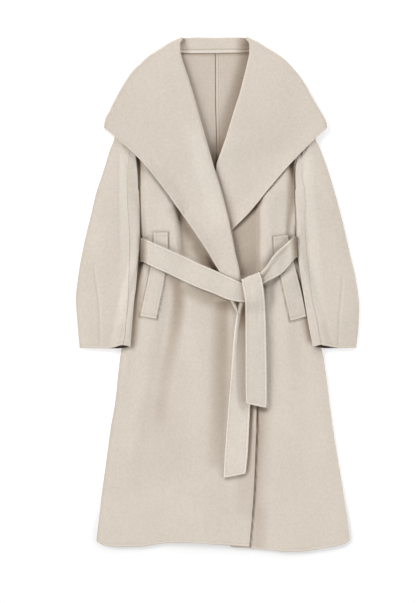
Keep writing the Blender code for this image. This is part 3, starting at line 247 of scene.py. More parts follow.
CUFF_L = edge((356.2, 347.8), (340, 348.2), (324, 348.4), (312.6, 346.5))

# belt round the waist, from the knot round the wearer's right side, the back
# and the left side to the knot again: upper and lower edge, and where it lies
BAND = [
    dict(lie="front", up=(250, 285.8), low=(252, 301)),
    dict(lie="front", up=(241.2, 282.6), low=(243.4, 302.4)),
    dict(lie="front", up=(230, 277.3), low=(229, 299.8)),
    dict(lie="front", up=(215, 270.4), low=(213, 293.4)),
    dict(lie="front", up=(200, 264), low=(198, 287.8)),
    dict(lie="front", up=(185, 256.8), low=(183, 281)),
    dict(lie="front", up=(170, 250), low=(168.4, 273.9)),
    dict(lie="front", up=(156, 244), low=(154.6, 267.9)),
    dict(lie="front", up=(148.6, 240.6), low=(148.2, 264.6)),
    dict(lie="side", up=(143.3, 238.1), low=(142.9, 262.0)),
    dict(lie="back", up=(150, 237.6), low=(150, 261.4)),
    dict(lie="back", up=(184, 237.2), low=(184, 260.6)),
    dict(lie="back", up=(218, 237), low=(218, 260.2)),
    dict(lie="back", up=(252, 236.8), low=(252, 259.6)),
    dict(lie="back", up=(287, 236.4), low=(288, 258.4)),
    dict(lie="side", up=(293.7, 236.2), low=(295.0, 257.8)),
    dict(lie="front", up=(289.2, 240.8), low=(290.6, 263.2)),
    dict(lie="front", up=(283, 246), low=(285.4, 269.4)),
    dict(lie="front", up=(276.6, 251.8), low=(279.4, 275)),
    dict(lie="front", up=(271.4, 258), low=(273, 278.6)),
    dict(lie="front", up=(266.8, 265.4), low=(267.4, 281.2)),
    dict(lie="front", up=(261, 271.8), low=(262.8, 284.2)),
    dict(lie="front", up=(255.4, 277.6), low=(256.6, 288.4)),
    dict(lie="front", up=(250, 281.6), low=(251, 292)),
]
# knot and upper tail: from behind the belt over its upper edge and down
KNOT = [
    dict(lie="under", left=(245, 290.5), right=(260.6, 287)),
    dict(lie="under", left=(242.6, 285), right=(260, 278)),
    dict(lie="turn", left=(241.4, 281), right=(259.8, 273.3)),
    dict(lie="over", left=(241.8, 285), right=(261.6, 278.4)),
    dict(lie="over", left=(243.6, 294), right=(263.6, 290)),
    dict(lie="over", left=(244.8, 304), right=(264.6, 303)),
    dict(lie="tail", left=(245, 318), right=(265.4, 318)),
    dict(lie="tail", left=(245, 340), right=(266, 340)),
    dict(lie="tail", left=(245, 362), right=(266.5, 362)),
    dict(lie="tail", left=(245, 384), right=(266.8, 386)),
    dict(lie="tail", left=(245.6, 403.2), right=(266.6, 408)),
]
UNDER_TAIL = [
    dict(left=(228.6, 293), right=(246.4, 296)),
    dict(left=(230.2, 300), right=(248, 303)),
    dict(left=(233.4, 306.5), right=(249, 310)),
    dict(left=(236.3, 314), right=(250.2, 317)),
    dict(left=(235.4, 321), right=(251.2, 324)),
    dict(left=(233.8, 332), right=(252.2, 334)),
    dict(left=(232.2, 352), right=(252.4, 354)),
    dict(left=(230, 380), right=(251.6, 382)),
    dict(left=(227.6, 408), right=(250, 410)),
    dict(left=(225.6, 436), right=(248.8, 436)),
    dict(left=(224, 458), right=(247.6, 456)),
    dict(left=(223.2, 477.8), right=(245.8, 473.4)),
]
WELT_R = [
    dict(left=(153.6, 232.4), right=(168.2, 232.4)),
    dict(left=(153.4, 252), right=(168.4, 256)),
    dict(left=(150, 270), right=(165, 276)),
    dict(left=(145.2, 293), right=(161.2, 297)),
    dict(left=(140, 316.2), right=(156.6, 319.2)),
]
WELT_L = [
    dict(left=(272.6, 236.8), right=(288, 234.8)),
    dict(left=(273.6, 252), right=(290.6, 250)),
    dict(left=(280, 276), right=(296, 271)),
    dict(left=(284.8, 298), right=(301.4, 293)),
    dict(left=(290, 321.2), right=(306.4, 316.6)),
]


# --------------------------------------------------------------- soft folds
# Each fold: its line down the cloth, height in mm (a trough is negative), half
# widths in squares to the left and right, and how far each end fades.

CHEST = edge((166, 172), (171, 190), (173.6, 205), (174.9, 222), (175.8, 242), (176.3, 258), (175.5, 272))
FOLDS = [
    # between the collar and the belt
    dict(path=CHEST, height=[1.0, 3.5, 6.0, 8.0, 7.5, 6.5, 5.0], left=26, right=6, fade=(16, 10)),
    dict(path=edge((148, 176), (148, 214), (149, 250)), height=2.0, left=7, right=12, fade=(20, 16)),
    dict(path=edge((268, 186), (269, 214), (269, 244), (266, 268)), height=7.5, left=9, right=20, fade=(16, 14)),
    dict(path=edge((240, 214), (242, 240), (246, 268)), height=1.6, left=12, right=12, fade=(16, 12)),
    # skirt
    dict(path=edge((160, 268), (156, 318), (146, 380), (133, 450), (122, 540)), height=[9.0, 7.0, 4.4, 3.0, 1.6],
         left=17, right=14, fade=(14, 100)),
    dict(path=edge((194, 286), (198, 340), (203, 400), (206, 480)), height=[3.4, 4.0, 3.0, 1.6], left=15, right=20,
         fade=(14, 120)),
    dict(path=edge((224, 300), (223, 360), (221, 420), (219, 490)), height=[-3.0, -2.6, -1.8, -1.0], left=16,
         right=10, fade=(10, 90)),
    dict(path=edge((283, 270), (286, 330), (289, 400), (292, 480)), height=[8.0, 6.4, 3.4, 1.8], left=14, right=18,
         fade=(12, 130)),
    dict(path=edge((322, 360), (332, 430), (338, 500)), height=1.6, left=20, right=14, fade=(50, 90)),
]

# ------------------------------------------------------------ painted light on the wool
# Shade is painted into the wool's colour deep in folds, in recesses and close
# under another layer, and a highlight on crests and rolls.  Each row is one such
# place: its line, how much darker the wool is painted along it (a painted
# highlight where negative), its half widths in squares to the left and right
# (seen looking down the line: left is the lower column), how softly they end, and how far the ends fade.


def place_painted_shade(path, dark, left, right, soft=None, fade=(0, 0)):
    return dict(path=np.array(path, float), dark=dark, left=left, right=right, soft=soft or (left, right), fade=fade)


# painted shade along an outer edge that turns away
EDGE_PAINTED_SHADE = dict(dark=0.11, left=3.2, right=3.2, soft=(2.6, 2.6))

# painted shade on the fronts: in folds and hollows, beside the sleeves, under the lapels, the belt and its ends; a
# painted highlight on crests where negative
FRONT_PAINTED_LIGHT = [
    # between the right lapel, the chest fold and the belt
    place_painted_shade([(177, 199), (180, 214), (182.5, 228), (183.5, 240), (183, 252), (184, 262)],
               [0.14, 0.28, 0.32, 0.32, 0.26, 0.22], 7, 12, (6, 11), (6, 8)),
    place_painted_shade([(172, 203), (180, 215), (190, 228.5), (200, 243), (208, 256), (218, 271)],
               [0.16, 0.34, 0.28, 0.36, 0.52, 0.62], 12, 8, (11, 4), (6, 1)),
    place_painted_shade([(190, 242), (198, 256), (209, 268)], [0.18, 0.30, 0.40], 9, 9, (9, 9), (7, 1)),
    place_painted_shade([(176.5, 206), (179, 214), (181, 226)], [0.26, 0.34, 0.10], 1.5, 7, (1.5, 6), (5, 6)),
    place_painted_shade([(206, 254), (212, 263.5), (218, 272)], [0.20, 0.60, 0.90], [4, 6, 8], 2, (5, 2), (3, 0)),
    place_painted_shade([(186, 225), (192, 240), (198, 255), (206, 266)], 0.18, 8, 8, (8, 8), (6, 2)),
    place_painted_shade([(146, 174), (158, 188), (168, 201), (174, 209)], -0.08, 1, 5.5, (1, 5), (8, 6)),
    # between the left lapel, the right fold and the belt
    place_painted_shade([(251, 204), (251, 240), (251, 276)], [0.32, 0.32, 0.34], 24, 10.4, (5, 2.6), (3, 1)),
    place_painted_shade([(279, 198), (280, 225), (281, 245)], -0.05, 7, 7, (7, 7), (12, 6)),
    place_painted_shade([(264, 194), (250, 211), (240, 221), (231, 230)], [0.14, 0.40, 0.44, 0.34], 6, 6, (5, 5), (4, 2)),
    place_painted_shade([(263.4, 195.5), (258.5, 202.5), (252.5, 208.5), (246, 214.5), (238, 222)], [0.30, 0.66, 0.70, 0.50, 0.10],
               3, [2.4, 5.4, 5.0, 4.0, 3.0], (3, 4), (3, 5)),
    place_painted_shade([(229, 226), (232, 236), (236, 252), (240, 270)], 0.12, 4, 9, (4, 9)),
    # beside the sleeves
    place_painted_shade([(142, 172), (143, 200), (144, 232), (143.5, 263)], [0.10, 0.10, 0.26, 0.40], 8, 4.5, (8, 4), (8, 2)),
    place_painted_shade([(137, 156), (138.6, 165), (139.6, 176), (140, 190), (140.4, 212), (141.2, 236), (143, 263)],
               [0.96, 0.95, 0.90, 0.84, 0.82, 0.92, 0.9], [8, 8, 8, 8, 8, 8, 8], [3.4, 3.0, 2.0, 1.5, 1.5, 2.0, 2.0],
               (8, 1.5)),
    place_painted_shade([(137.5, 159), (141, 164), (143.5, 171), (144.5, 182)], [0.50, 0.45, 0.28, 0.0], 5, 5, (5, 5)),
    place_painted_shade([(139.5, 264), (138, 280), (136, 300), (134, 330), (131, 352)], [0.72, 0.56, 0.50, 0.45, 0.35],
               8, 7.5, (8, 7), (1, 8)),
    place_painted_shade([(290.4, 163), (290, 200), (288.4, 218), (287.2, 230), (287, 240)], [0.30, 0.32, 0.36, 0.40, 0.36],
               [5, 5, 4.6, 4.0, 4.0], [7, 7, 5.4, 4.4, 4.4], (4.6, 5), (3, 1)),
    place_painted_shade([(293.8, 172), (293.8, 184), (293.6, 196), (293.4, 212)], [0.40, 0.40, 0.34, 0.10], 5.5, 4, (5.5, 4)),
    place_painted_shade([(294.4, 157), (293.6, 163), (293, 168), (293, 173), (293.2, 179), (293.4, 185)],
               [0.95, 0.94, 0.86, 0.66, 0.36, 0.10], [8, 8, 7, 6, 5, 4], [2.4, 2.2, 2.2, 2.2, 2, 2], (5, 2)),
    place_painted_shade([(294.6, 222), (295.2, 231), (295.8, 241)], [0.20, 0.50, 0.66], 2.4, 4, (2.4, 4), (6, 0)),
    place_painted_shade([(292.9, 260.5), (294, 266), (295.6, 270.5), (298.5, 280), (301.3, 290.5), (304.4, 303), (307, 312)],
               [0.93, 0.90, 0.92, 0.94, 0.94, 0.90, 0.6], 1.0, [1.0, 1.0, 1.2, 1.5, 1.5, 1.4, 1.4], (0.9, 0.9), (0, 4)),
    place_painted_shade([(293, 260.5), (298.5, 280), (304.4, 303)], [0.08, 0.10, 0.14], 0, 7, (0.5, 7), (0, 6)),
    place_painted_shade([(283, 270.8), (288, 266.6), (292.6, 262)], [0.10, 0.40, 0.62], 5, 4.6, (4, 4.4), (6, 0)),
    place_painted_shade([(296.4, 273), (298.4, 280), (301.2, 291)], 0.22, 7, 1, (7, 1), (4, 6)),
    place_painted_shade([(302.4, 296), (306.6, 312)], 0.26, 6, 2, (6, 2), (4, 6)),
    place_painted_shade([(300, 298), (306, 320), (312, 346)], [0.26, 0.42, 0.42], 8, 9, (8, 9), (12, 8)),
    # under the belt's lower edge and down the skirt
    place_painted_shade([(174, 275), (177.5, 290), (177.5, 305), (175.5, 320), (173, 335), (170, 350), (167, 365), (163, 385),
                (160, 410), (157, 440)], [0.40, 0.46, 0.40, 0.32, 0.26, 0.22, 0.18, 0.14, 0.13, 0.08], 9, 12, (8, 11),
               (1, 30)),
    place_painted_shade([(184, 283), (198, 289.5), (213, 295.5), (228, 301), (244, 304)], [0.20, 0.24, 0.32, 0.40, 0.42],
               17, 6, (16, 5), (8, 2)),
    place_painted_shade([(180, 286), (198, 296), (216, 304)], 0.13, 10, 10, (9, 9), (8, 8)),
    place_painted_shade([(223.5, 300), (224, 330), (223, 360), (221.5, 400), (219, 440), (217.5, 474)],
               [0.32, 0.36, 0.34, 0.30, 0.24, 0.12], 17, 9, (16, 8), (3, 12)),
    place_painted_shade([(142, 264), (156, 270), (170, 276)], 0.16, 6, 6, (6, 5), (4, 4)),
    place_painted_shade([(262.5, 287.5), (266, 286), (272, 283.5)], [0.36, 0.20, 0.0], 2.6, 3.4, (2.4, 3)),
    place_painted_shade([(264.5, 286), (265.5, 300), (266.6, 330)], [0.44, 0.30, 0.0], 4, 3, (3, 2.6)),
    # by the free edge, beside the second end of the belt and below the upper one
    place_painted_shade([(251.3, 402), (250.8, 420), (249.8, 435), (248.4, 452), (246.4, 474)],
               [0.74, 0.66, 0.52, 0.46, 0.30], 3, 4.2, (2, 4), (1, 3)),
    place_painted_shade([(256.6, 404), (256.4, 430), (255.4, 450), (254.3, 480), (251.6, 522), (249.2, 547)],
               [0.80, 0.66, 0.62, 0.55, 0.46, 0.40], 0.2, 2.6, (0.2, 1.9)),
    place_painted_shade([(258, 404), (257.5, 450), (256, 480), (253.5, 510), (250.6, 547)], [0.34, 0.20, 0.16, 0.13, 0.12],
               4, 17, (4, 17), (3, 1)),
    place_painted_shade([(249, 404.5), (258, 408), (268, 411)], 0.42, 4, 4, (3.4, 3), (2, 2)),
    place_painted_shade([(224, 479), (234, 478), (247, 475)], 0.16, 4, 3, (4, 3), (2, 2)),
    place_painted_shade([(160, 380), (164, 430), (168, 490)], 0.045, 30, 30, (24, 24), (30, 30)),
    place_painted_shade([(252, 420), (250, 450), (248, 490), (246, 525)], [0.10, 0.14, 0.12, 0.04], 16, 16, (10, 10), (14, 14)),
    place_painted_shade([(262, 500), (260, 547)], 0.10, 8, 10, (6, 8), (14, 0)),
    place_painted_shade(SIDE_R[14:], 0.12, 3.4, 3.4, (2.8, 2.8), (12, 0)),
]

# painted shade along the outline of each welt
for outline in ([(153.2, 231.5), (153, 252), (149.6, 270), (144.8, 293), (139.4, 317.4)],
                [(168.9, 232), (169, 256), (165.7, 276), (161.9, 297), (157.3, 320)],
                [(139.4, 317.2), (148, 319), (157.2, 320.2)], [(153.4, 231.8), (168.6, 231.6)],
                [(272, 236.4), (273, 252), (279.4, 276), (284.2, 298), (289.4, 322)],
                [(289.6, 322), (298, 320.2), (307, 317.2)], [(272.4, 236), (288.4, 234.2)]):
    long_side = outline[-1][1] - outline[0][1] > 60
    FRONT_PAINTED_LIGHT.append(place_painted_shade(outline, 0.36 if long_side else 0.16, 1.0, 1.0))

# painted shade on the inside of the back between the lapels: by the roll lines, deepest at the V, and along the neck
# seam
BACK_PAINTED_SHADE = [
    place_painted_shade([(213, 40), (215, 110), (216, 190)], 0.12, 70, 70, (6, 6)),
    place_painted_shade([(248, 54), (246, 66), (240.5, 88), (232.5, 114), (224, 142), (217, 166)],
               [0.48, 0.42, 0.40, 0.34, 0.36, 0.48], 15, 6, (14, 5)),
    place_painted_shade([(182, 54), (185, 66), (191, 84), (201, 118), (210, 150)], [0.20, 0.16, 0.08, 0.02, 0.15], 5, 7, (4, 7)),
    place_painted_shade([(218.6, 150), (217.2, 171)], [0.15, 0.86], 4.4, 7, (4, 6), (10, 0)),
    place_painted_shade([(219, 132), (217.4, 168)], [0.08, 0.42], 12, 14, (11, 13), (12, 0)),
    place_painted_shade([(181, 54.9), (215.5, 55.1), (249, 54.2)], 0.24, 2.2, 2.0, (2.0, 1.6)),
]

# painted highlight on the lapels' rolls, painted shade along the fold over the shoulder and beside the right lapel's
# roll
LAPEL_PAINTED_LIGHT = [
    place_painted_shade([(190, 112), (199, 150), (206, 178), (214, 205), (221, 232)], [-0.06, -0.10, -0.10, -0.08, -0.03],
               16, 12, (14, 10), (24, 16)),
    place_painted_shade([(232, 128), (224, 152), (226, 182), (234, 205)], -0.04, 10, 16, (8, 14), (14, 12)),
    place_painted_shade(OVER_R[3:], **EDGE_PAINTED_SHADE),
    place_painted_shade([(216.6, 169.5), (219.4, 180), (225, 200), (232, 230)], [0.04, 0.12, 0.24, 0.28], 2, 10, (2, 10)),
]

# painted shade in the stand's corners and a painted highlight along its top
STAND_PAINTED_LIGHT = [
    place_painted_shade([(182, 38), (184, 45), (185.5, 54)], [0.40, 0.36, 0.24], 5, 7, (4, 7)),
    place_painted_shade([(247, 37), (247, 45), (247, 54)], [0.42, 0.60, 0.55], 15, 5, (14, 4)),
    place_painted_shade([(240, 37.6), (198, 38)], -0.05, 4, 3, (3, 2), (6, 6)),
]

# painted highlight beside the front seam and beside the crease down the forearm, painted shade in that crease, in the
# pressed line and along the outer edge
SLEEVE_PAINTED_LIGHT_R = [
    place_painted_shade([(125, 146), (126, 200), (127, 260), (124, 330)], -0.09, 8.5, 9, (6, 5), (10, 12)),
    place_painted_shade([(92.6, 262), (95, 280), (97, 290), (98, 300), (99, 312), (99.3, 330), (99.6, 346)], 0.12, 1.7, 1.7,
               None, (10, 1)),
    place_painted_shade([(94.6, 262), (97, 280), (99, 290), (100, 300), (101, 312), (101.3, 330), (101.6, 346)], -0.07, 1.7, 1.7,
               None, (10, 1)),
    place_painted_shade([(118.3, 150), (118.4, 215), (119, 262)], 0.06, 1.8, 1.8, None, (20, 24)),
]

SLEEVE_PAINTED_LIGHT_R.append(place_painted_shade(SLEEVE_OUT_R[4:], **EDGE_PAINTED_SHADE))
# painted shade along the right sleeve's inner edge, beside the body
SLEEVE_INNER_PAINTED_SHADE_R = [
    place_painted_shade([(137.4, 160), (139.3, 190), (140.2, 225), (140.4, 240), (140.2, 250), (139.2, 259), (138.2, 266),
                (136.8, 275)], [0.2, 0.2, 0.4, 0.7, 0.86, 0.9, 0.8, 0.4], 1.7, 1.7, (1.5, 1.5), (6, 8)),
]

# painted highlight beside the front seam and beside the crease, painted shade in the crease
SLEEVE_PAINTED_LIGHT_L = [
    place_painted_shade([(307, 150), (309, 200), (313, 260), (319, 330)], -0.07, 8, 10, (5, 7), (10, 12)),
    place_painted_shade([(341.8, 272), (341.2, 282), (340, 300), (338.5, 315), (338, 331), (337.6, 346)], 0.12, 1.7, 1.7,
               None, (10, 1)),
    place_painted_shade([(343.8, 272), (343.2, 282), (342, 300), (340.5, 315), (340, 331), (339.6, 346)], -0.07, 1.7, 1.7,
               None, (10, 1)),
]

# painted shade inside a cuff, where its two layers part
CUFF_PAINTED_SHADE = [
    place_painted_shade([(108, 346.4), (115, 345.6), (127, 345)], 0.93, 5, 5, (1.6, 3)),
    place_painted_shade([(316, 345), (324, 344.6), (338, 346)], 0.93, 5, 5, (1.6, 3)),
]

# painted shade in the hollow of the gathered tail below the knot and beside the upper tail, a painted highlight along
# its lit rim
UNDER_TAIL_PAINTED_LIGHT = [
    place_painted_shade([(237, 298), (237, 302), (237.5, 306), (237.8, 312)], 0.86, [3.6, 3.2, 1.9, 0.4], [3.8, 3.2, 1.9, 0.3],
               (1.0, 1.0)),
    place_painted_shade([(245.6, 302), (244.6, 311), (244.2, 320), (244, 332), (244, 350), (244.3, 380), (245, 404)],
               [0.84, 0.84, 0.66, 0.36, 0.24, 0.18, 0.16], [3.6, 5.2, 6.0, 8.0, 9.5, 10, 8], 5, (2.6, 4)),
    place_painted_shade([(234.2, 320), (232.8, 330), (231.8, 345)], [0.30, 0.26, 0.0], 1, 2.4, (1, 2.4)),
    place_painted_shade([(236, 315), (236.4, 322), (235, 334), (233.4, 352), (230, 385)], [-0.04, -0.06, -0.06, -0.05, 0.0],
               2.6, 2.4, (1.2, 1.4)),
]

# painted shade on the band by the knot, under its folded edge and at both ends where it turns round the sides
BAND_PAINTED_SHADE = [
    place_painted_shade([(242.4, 282), (244.6, 303)], 0.22, 3.4, 3),
    place_painted_shade([(262, 277.5), (266.5, 271.6), (271.6, 264.4), (277, 257.4), (283, 251.4), (290, 245.4)],
               [0.55, 0.40, 0.26, 0.20, 0.16, 0.10], 2.2, 1.2, (2.0, 1.0), (1, 6)),
    place_painted_shade([(262, 281), (268, 276), (274, 270)], [0.22, 0.10, 0.0], 4, 4),
    place_painted_shade([(140.4, 238), (140.4, 250), (140.3, 263)], [0.74, 0.88, 0.94], 3, 7.6, (3, 7.6)),
    # and where it goes round the left side
    place_painted_shade([(296.4, 237.5), (296.6, 243), (297, 250), (297, 259)], [0.74, 0.80, 0.74, 0.6], 6.6, 4, (6.4, 3)),
]

# which table of painted shade and painted highlight each piece takes
PAINTED_LIGHT_TABLES = {"front_right": FRONT_PAINTED_LIGHT, "front_left": FRONT_PAINTED_LIGHT, "back_right": BACK_PAINTED_SHADE, "back_left": BACK_PAINTED_SHADE,
         "belt_tail_under": UNDER_TAIL_PAINTED_LIGHT, "belt_band": BAND_PAINTED_SHADE, "sleeve_right_upper": SLEEVE_PAINTED_LIGHT_R,
         "sleeve_left_upper": SLEEVE_PAINTED_LIGHT_L, "sleeve_right_under": SLEEVE_INNER_PAINTED_SHADE_R}


def painted_shade_at(rows, u, v):
    """How much shade is painted into the wool at each point, 0 none to 1 black; a painted highlight where negative."""
    keep = np.ones(np.shape(u))
    for r in rows:
        q, at, total = path_place(u, v, r["path"])
        c = np.concatenate([[0.0], np.cumsum(np.hypot(*np.diff(r["path"], axis=0).T))])
        dark, left, right = (x if np.isscalar(x) else np.interp(at, c, x) for x in (r["dark"], r["left"], r["right"]))
        shape = np.where(q < 0, smooth((left + q) / r["soft"][0]), smooth((right - q) / r["soft"][1]))
        for size, d in zip(r["fade"], (at, total - at)):
            if size:
                shape = shape * smooth(d / size)
        keep = keep * (1 - dark * shape)
    return 1 - keep


# --------------------------------------------------------------- the levels
# Level of the middle of each layer above the floor, in mm, at a grid point.


def at_row(points, v):
    return along(points[:, 1], points[:, 0], v)


def fall_row(u):
    """Row of the collar's outer edge where it falls behind the back."""
    return 126.0 + 12.0 * (1.0 - ((u - 216.0) / 112.0) ** 2)


def back_level(u, v):
    on_fall = smooth((fall_row(u) + 2.0 + FALL_RAMP - v) / FALL_RAMP)
    on_belt = smooth((13.5 + 30.0 - np.abs(v - 249.0)) / 30.0)
    return CLOTH / 2 + STEP * on_fall + BELT_STEP * on_belt


BELT_ROWS = edge((140, 249.5), (170, 262), (200, 276), (230, 289), (245, 291), (258, 280), (270, 271),
                 (285, 258), (297, 247))
BRIM_ROWS = edge((100, 128), (120, 141.5), (140, 160), (160, 184), (178, 209), (190, 226), (206, 250),
                 (219.5, 268), (225, 262), (231.5, 231), (250, 212), (270, 187.5), (290, 164.5), (310, 144), (330, 124))


def undulation(u, v):
    """The slight unevenness of cloth that has been laid out by hand, in mm."""
    a = np.sin(u / 9.1 + 0.7 * np.sin(v / 31.0)) * np.sin(v / 23.0 + 1.1 + 0.8 * np.sin(u / 27.0))
    b = np.sin((u + 0.45 * v) / 6.3 + 1.3 * np.sin(v / 17.0)) * np.sin((v - 0.3 * u) / 12.5 + 0.4)
    c = np.sin((u - 0.2 * v) / 15.0 + 2.0)
    return 0.26 * a + 0.13 * b + 0.22 * c


def relief(u, v):
    """Height of the soft folds of the fronts; nothing under the collar."""
    total = undulation(u, v)
    for f in FOLDS:
        total = total + crease(u, v, f["path"], f["height"], f["left"], f["right"], *f["fade"])
    clear = smooth((v - along(BRIM_ROWS[:, 0], BRIM_ROWS[:, 1], u) + 8.0) / 14.0)
    belt = 1.0 - 0.45 * np.exp(-((v - along(BELT_ROWS[:, 0], BELT_ROWS[:, 1], u)) / 12.0) ** 2)
    sides = smooth((u - at_row(SIDE_R, v)) / 8.0) * smooth((at_row(SIDE_L, v) - u) / 10.0)
    # the fronts stand off the back, least between the two chest folds and in the skirt
    v2 = np.clip(v, 172, 272)
    between = smooth((u - at_row(CHEST, v2) - 0.5) / 6.0) * smooth((261.0 - u) / 6.0)
    between = between * smooth((v - 168) / 14.0) * smooth((296 - v) / 20.0)
    puff = PUFF * (1 - 0.92 * between) * (1 - 0.8 * smooth((v - 290) / 130.0))
    rise = total + puff
    rise = 0.5 * (rise + np.sqrt(rise * rise + 0.16))
    return rise * clear * belt * sides


def hidden_edge(v):
    """Column of the left front's edge, hidden under the right front."""
    t = edge((224, 143), (216.4, 167), (209, 190), (203, 215), (199, 240), (196, 262), (188, 290), (182.5, 312),
             (180, 350), (178.6, 406), (179.2, 455), (181, 480), (183, 509), (186.4, 546))
    return at_row(t, v)


def under_front_level(u, v):
    return back_level(u, v) + STEP + relief(u, v)


def lapel_lift(side, u, v):
    """How far a lapel's fall stands off what it covers, in mm: a soft roll by
    the roll line, flatter outwards, and an outer edge that doesn't quite lie."""
    if side == "right":
        roll, over, brim, away = ROLL_R, OVER_R, BRIM_R, at_row(ROLL_R, v) - u
    else:
        roll, over, brim, away = ROLL_L, OVER_L, BRIM_L[::-1], u - at_row(ROLL_L, v)
    rise = np.interp(v, [37, 46, 72, 120, 150, 172, 200, 240, 281], ROLL_RISE[side])
    reach = np.interp(v, [40, 120, 160, 200, 240, 280], [60, 88, 66, 48, 32, 16])
    lift = rise * (1 - smooth(away / reach))
    out = (along(brim[:, 0], brim[:, 1], u) - v) * 0.72
    lift = lift + np.interp(u, *BRIM_LIFT[side]) * smooth(1 - out / 15.0)
    return lift * smooth(np.abs(path_place(u, v, over)[0]) / 20.0)


ROLL_RISE = {"right": [0.5, 2.0, 7.0, 10.0, 9.0, 5.0, 4.6, 4.6, 3.0],
             "left": [0.5, 2.0, 7.0, 10.0, 9.0, 5.0, 4.0, 3.0, 2.0]}
BRIM_LIFT = {"right": ([104, 125, 150, 172, 184, 205, 219], [2.3, 2.8, 2.3, 2.5, 6.0, 7.0, 3.0]),
             "left": ([204, 232, 245, 262, 290, 310, 327], [0.0, 4.0, 4.0, 3.0, 2.4, 2.9, 2.4])}


def under_lapel_level(u, v):
    seen = smooth((u - at_row(ROLL_R, np.clip(v, 60, 280)) - 0.4) / 6.0)
    return under_front_level(u, v) + STEP + (lapel_lift("left", u, v) + 0.8 * undulation(u, v)) * seen


def top_front_level(u, v):
    on_front = smooth((u - hidden_edge(v) + 26.0) / 23.0)
    tip = edge((190, 272), (198, 268), (204, 263), (212, 253), (222, 243), (231.5, 232), (245, 216))
    on_lapel = on_front * smooth((along(tip[:, 0], tip[:, 1], u) + 48.0 - v) / 38.0)
    return back_level(u, v) + STEP + relief(u, v) + STEP * on_front + STEP * on_lapel


def top_lapel_level(u, v):
    return highest(top_front_level, u, v, 5.0) + STEP + lapel_lift("right", u, v) + 0.8 * undulation(u, v)


FREE_EDGE = edge((214.6, 169), (223.6, 200), (230.8, 230), (237, 260), (243, 283), (251, 297), (256.6, 325),
                 (257.8, 360), (257.3, 407), (256, 450), (255.1, 475), (253.8, 500), (251.8, 522), (249.6, 546.6))


def front_top(u, v):
    """Upper face of whichever front is on top, mm above the floor."""
    return np.where(u < at_row(FREE_EDGE, v) + 3.0, top_front_level(u, v), under_front_level(u, v)) + CLOTH / 2


def highest(level, u, v, reach):
    """Highest value of a level within a reach (squares) of each point."""
    best = level(u, v)
    for k in range(8):
        a = k * math.pi / 4
        best = np.maximum(best, level(u + reach * math.cos(a), v + reach * math.sin(a)))
    return best


def even_out(z, rounds):
    """Averages a row of levels without letting any point sink."""
    floor = z.copy()
    for _ in range(rounds):
        z = np.maximum(floor, np.convolve(np.pad(z, 1, mode="edge"), [0.25, 0.5, 0.25], mode="valid"))
    return z


# ------------------------------------------------------------ from grid to mesh

PIECES = {}


def to_metres(u, v, z):
    return np.stack([(u - COL_CENTRE) * SQUARE, (ROW_CENTRE - v) * SQUARE, z], axis=-1) / 1000.0


def facing(mid):
    """Unit normals of a grid of points."""
    nrm = np.cross(np.gradient(mid, axis=1), np.gradient(mid, axis=0))
    return nrm / np.maximum(np.linalg.norm(nrm, axis=2, keepdims=True), 1e-12)


def reaches(mid):
    """Distance in mm from the first row, last row, first column, last column."""
    down = np.linalg.norm(np.diff(mid, axis=0), axis=2)
    over = np.linalg.norm(np.diff(mid, axis=1), axis=2)
    a = np.concatenate([np.zeros((1, mid.shape[1])), np.cumsum(down, axis=0)]) * 1000
    b = np.concatenate([np.zeros((mid.shape[0], 1)), np.cumsum(over, axis=1)], axis=1) * 1000
    return a, a[-1:] - a, b, b[:, -1:] - b


def bead(d):
    """Profile of a turned-in edge: a low roll, then the pressed line behind it."""
    return 0.34 * smooth(d / 1.6) * smooth((5.6 - d) / 2.6) - 0.26 * np.exp(-((d - 6.3) / 1.15) ** 2)


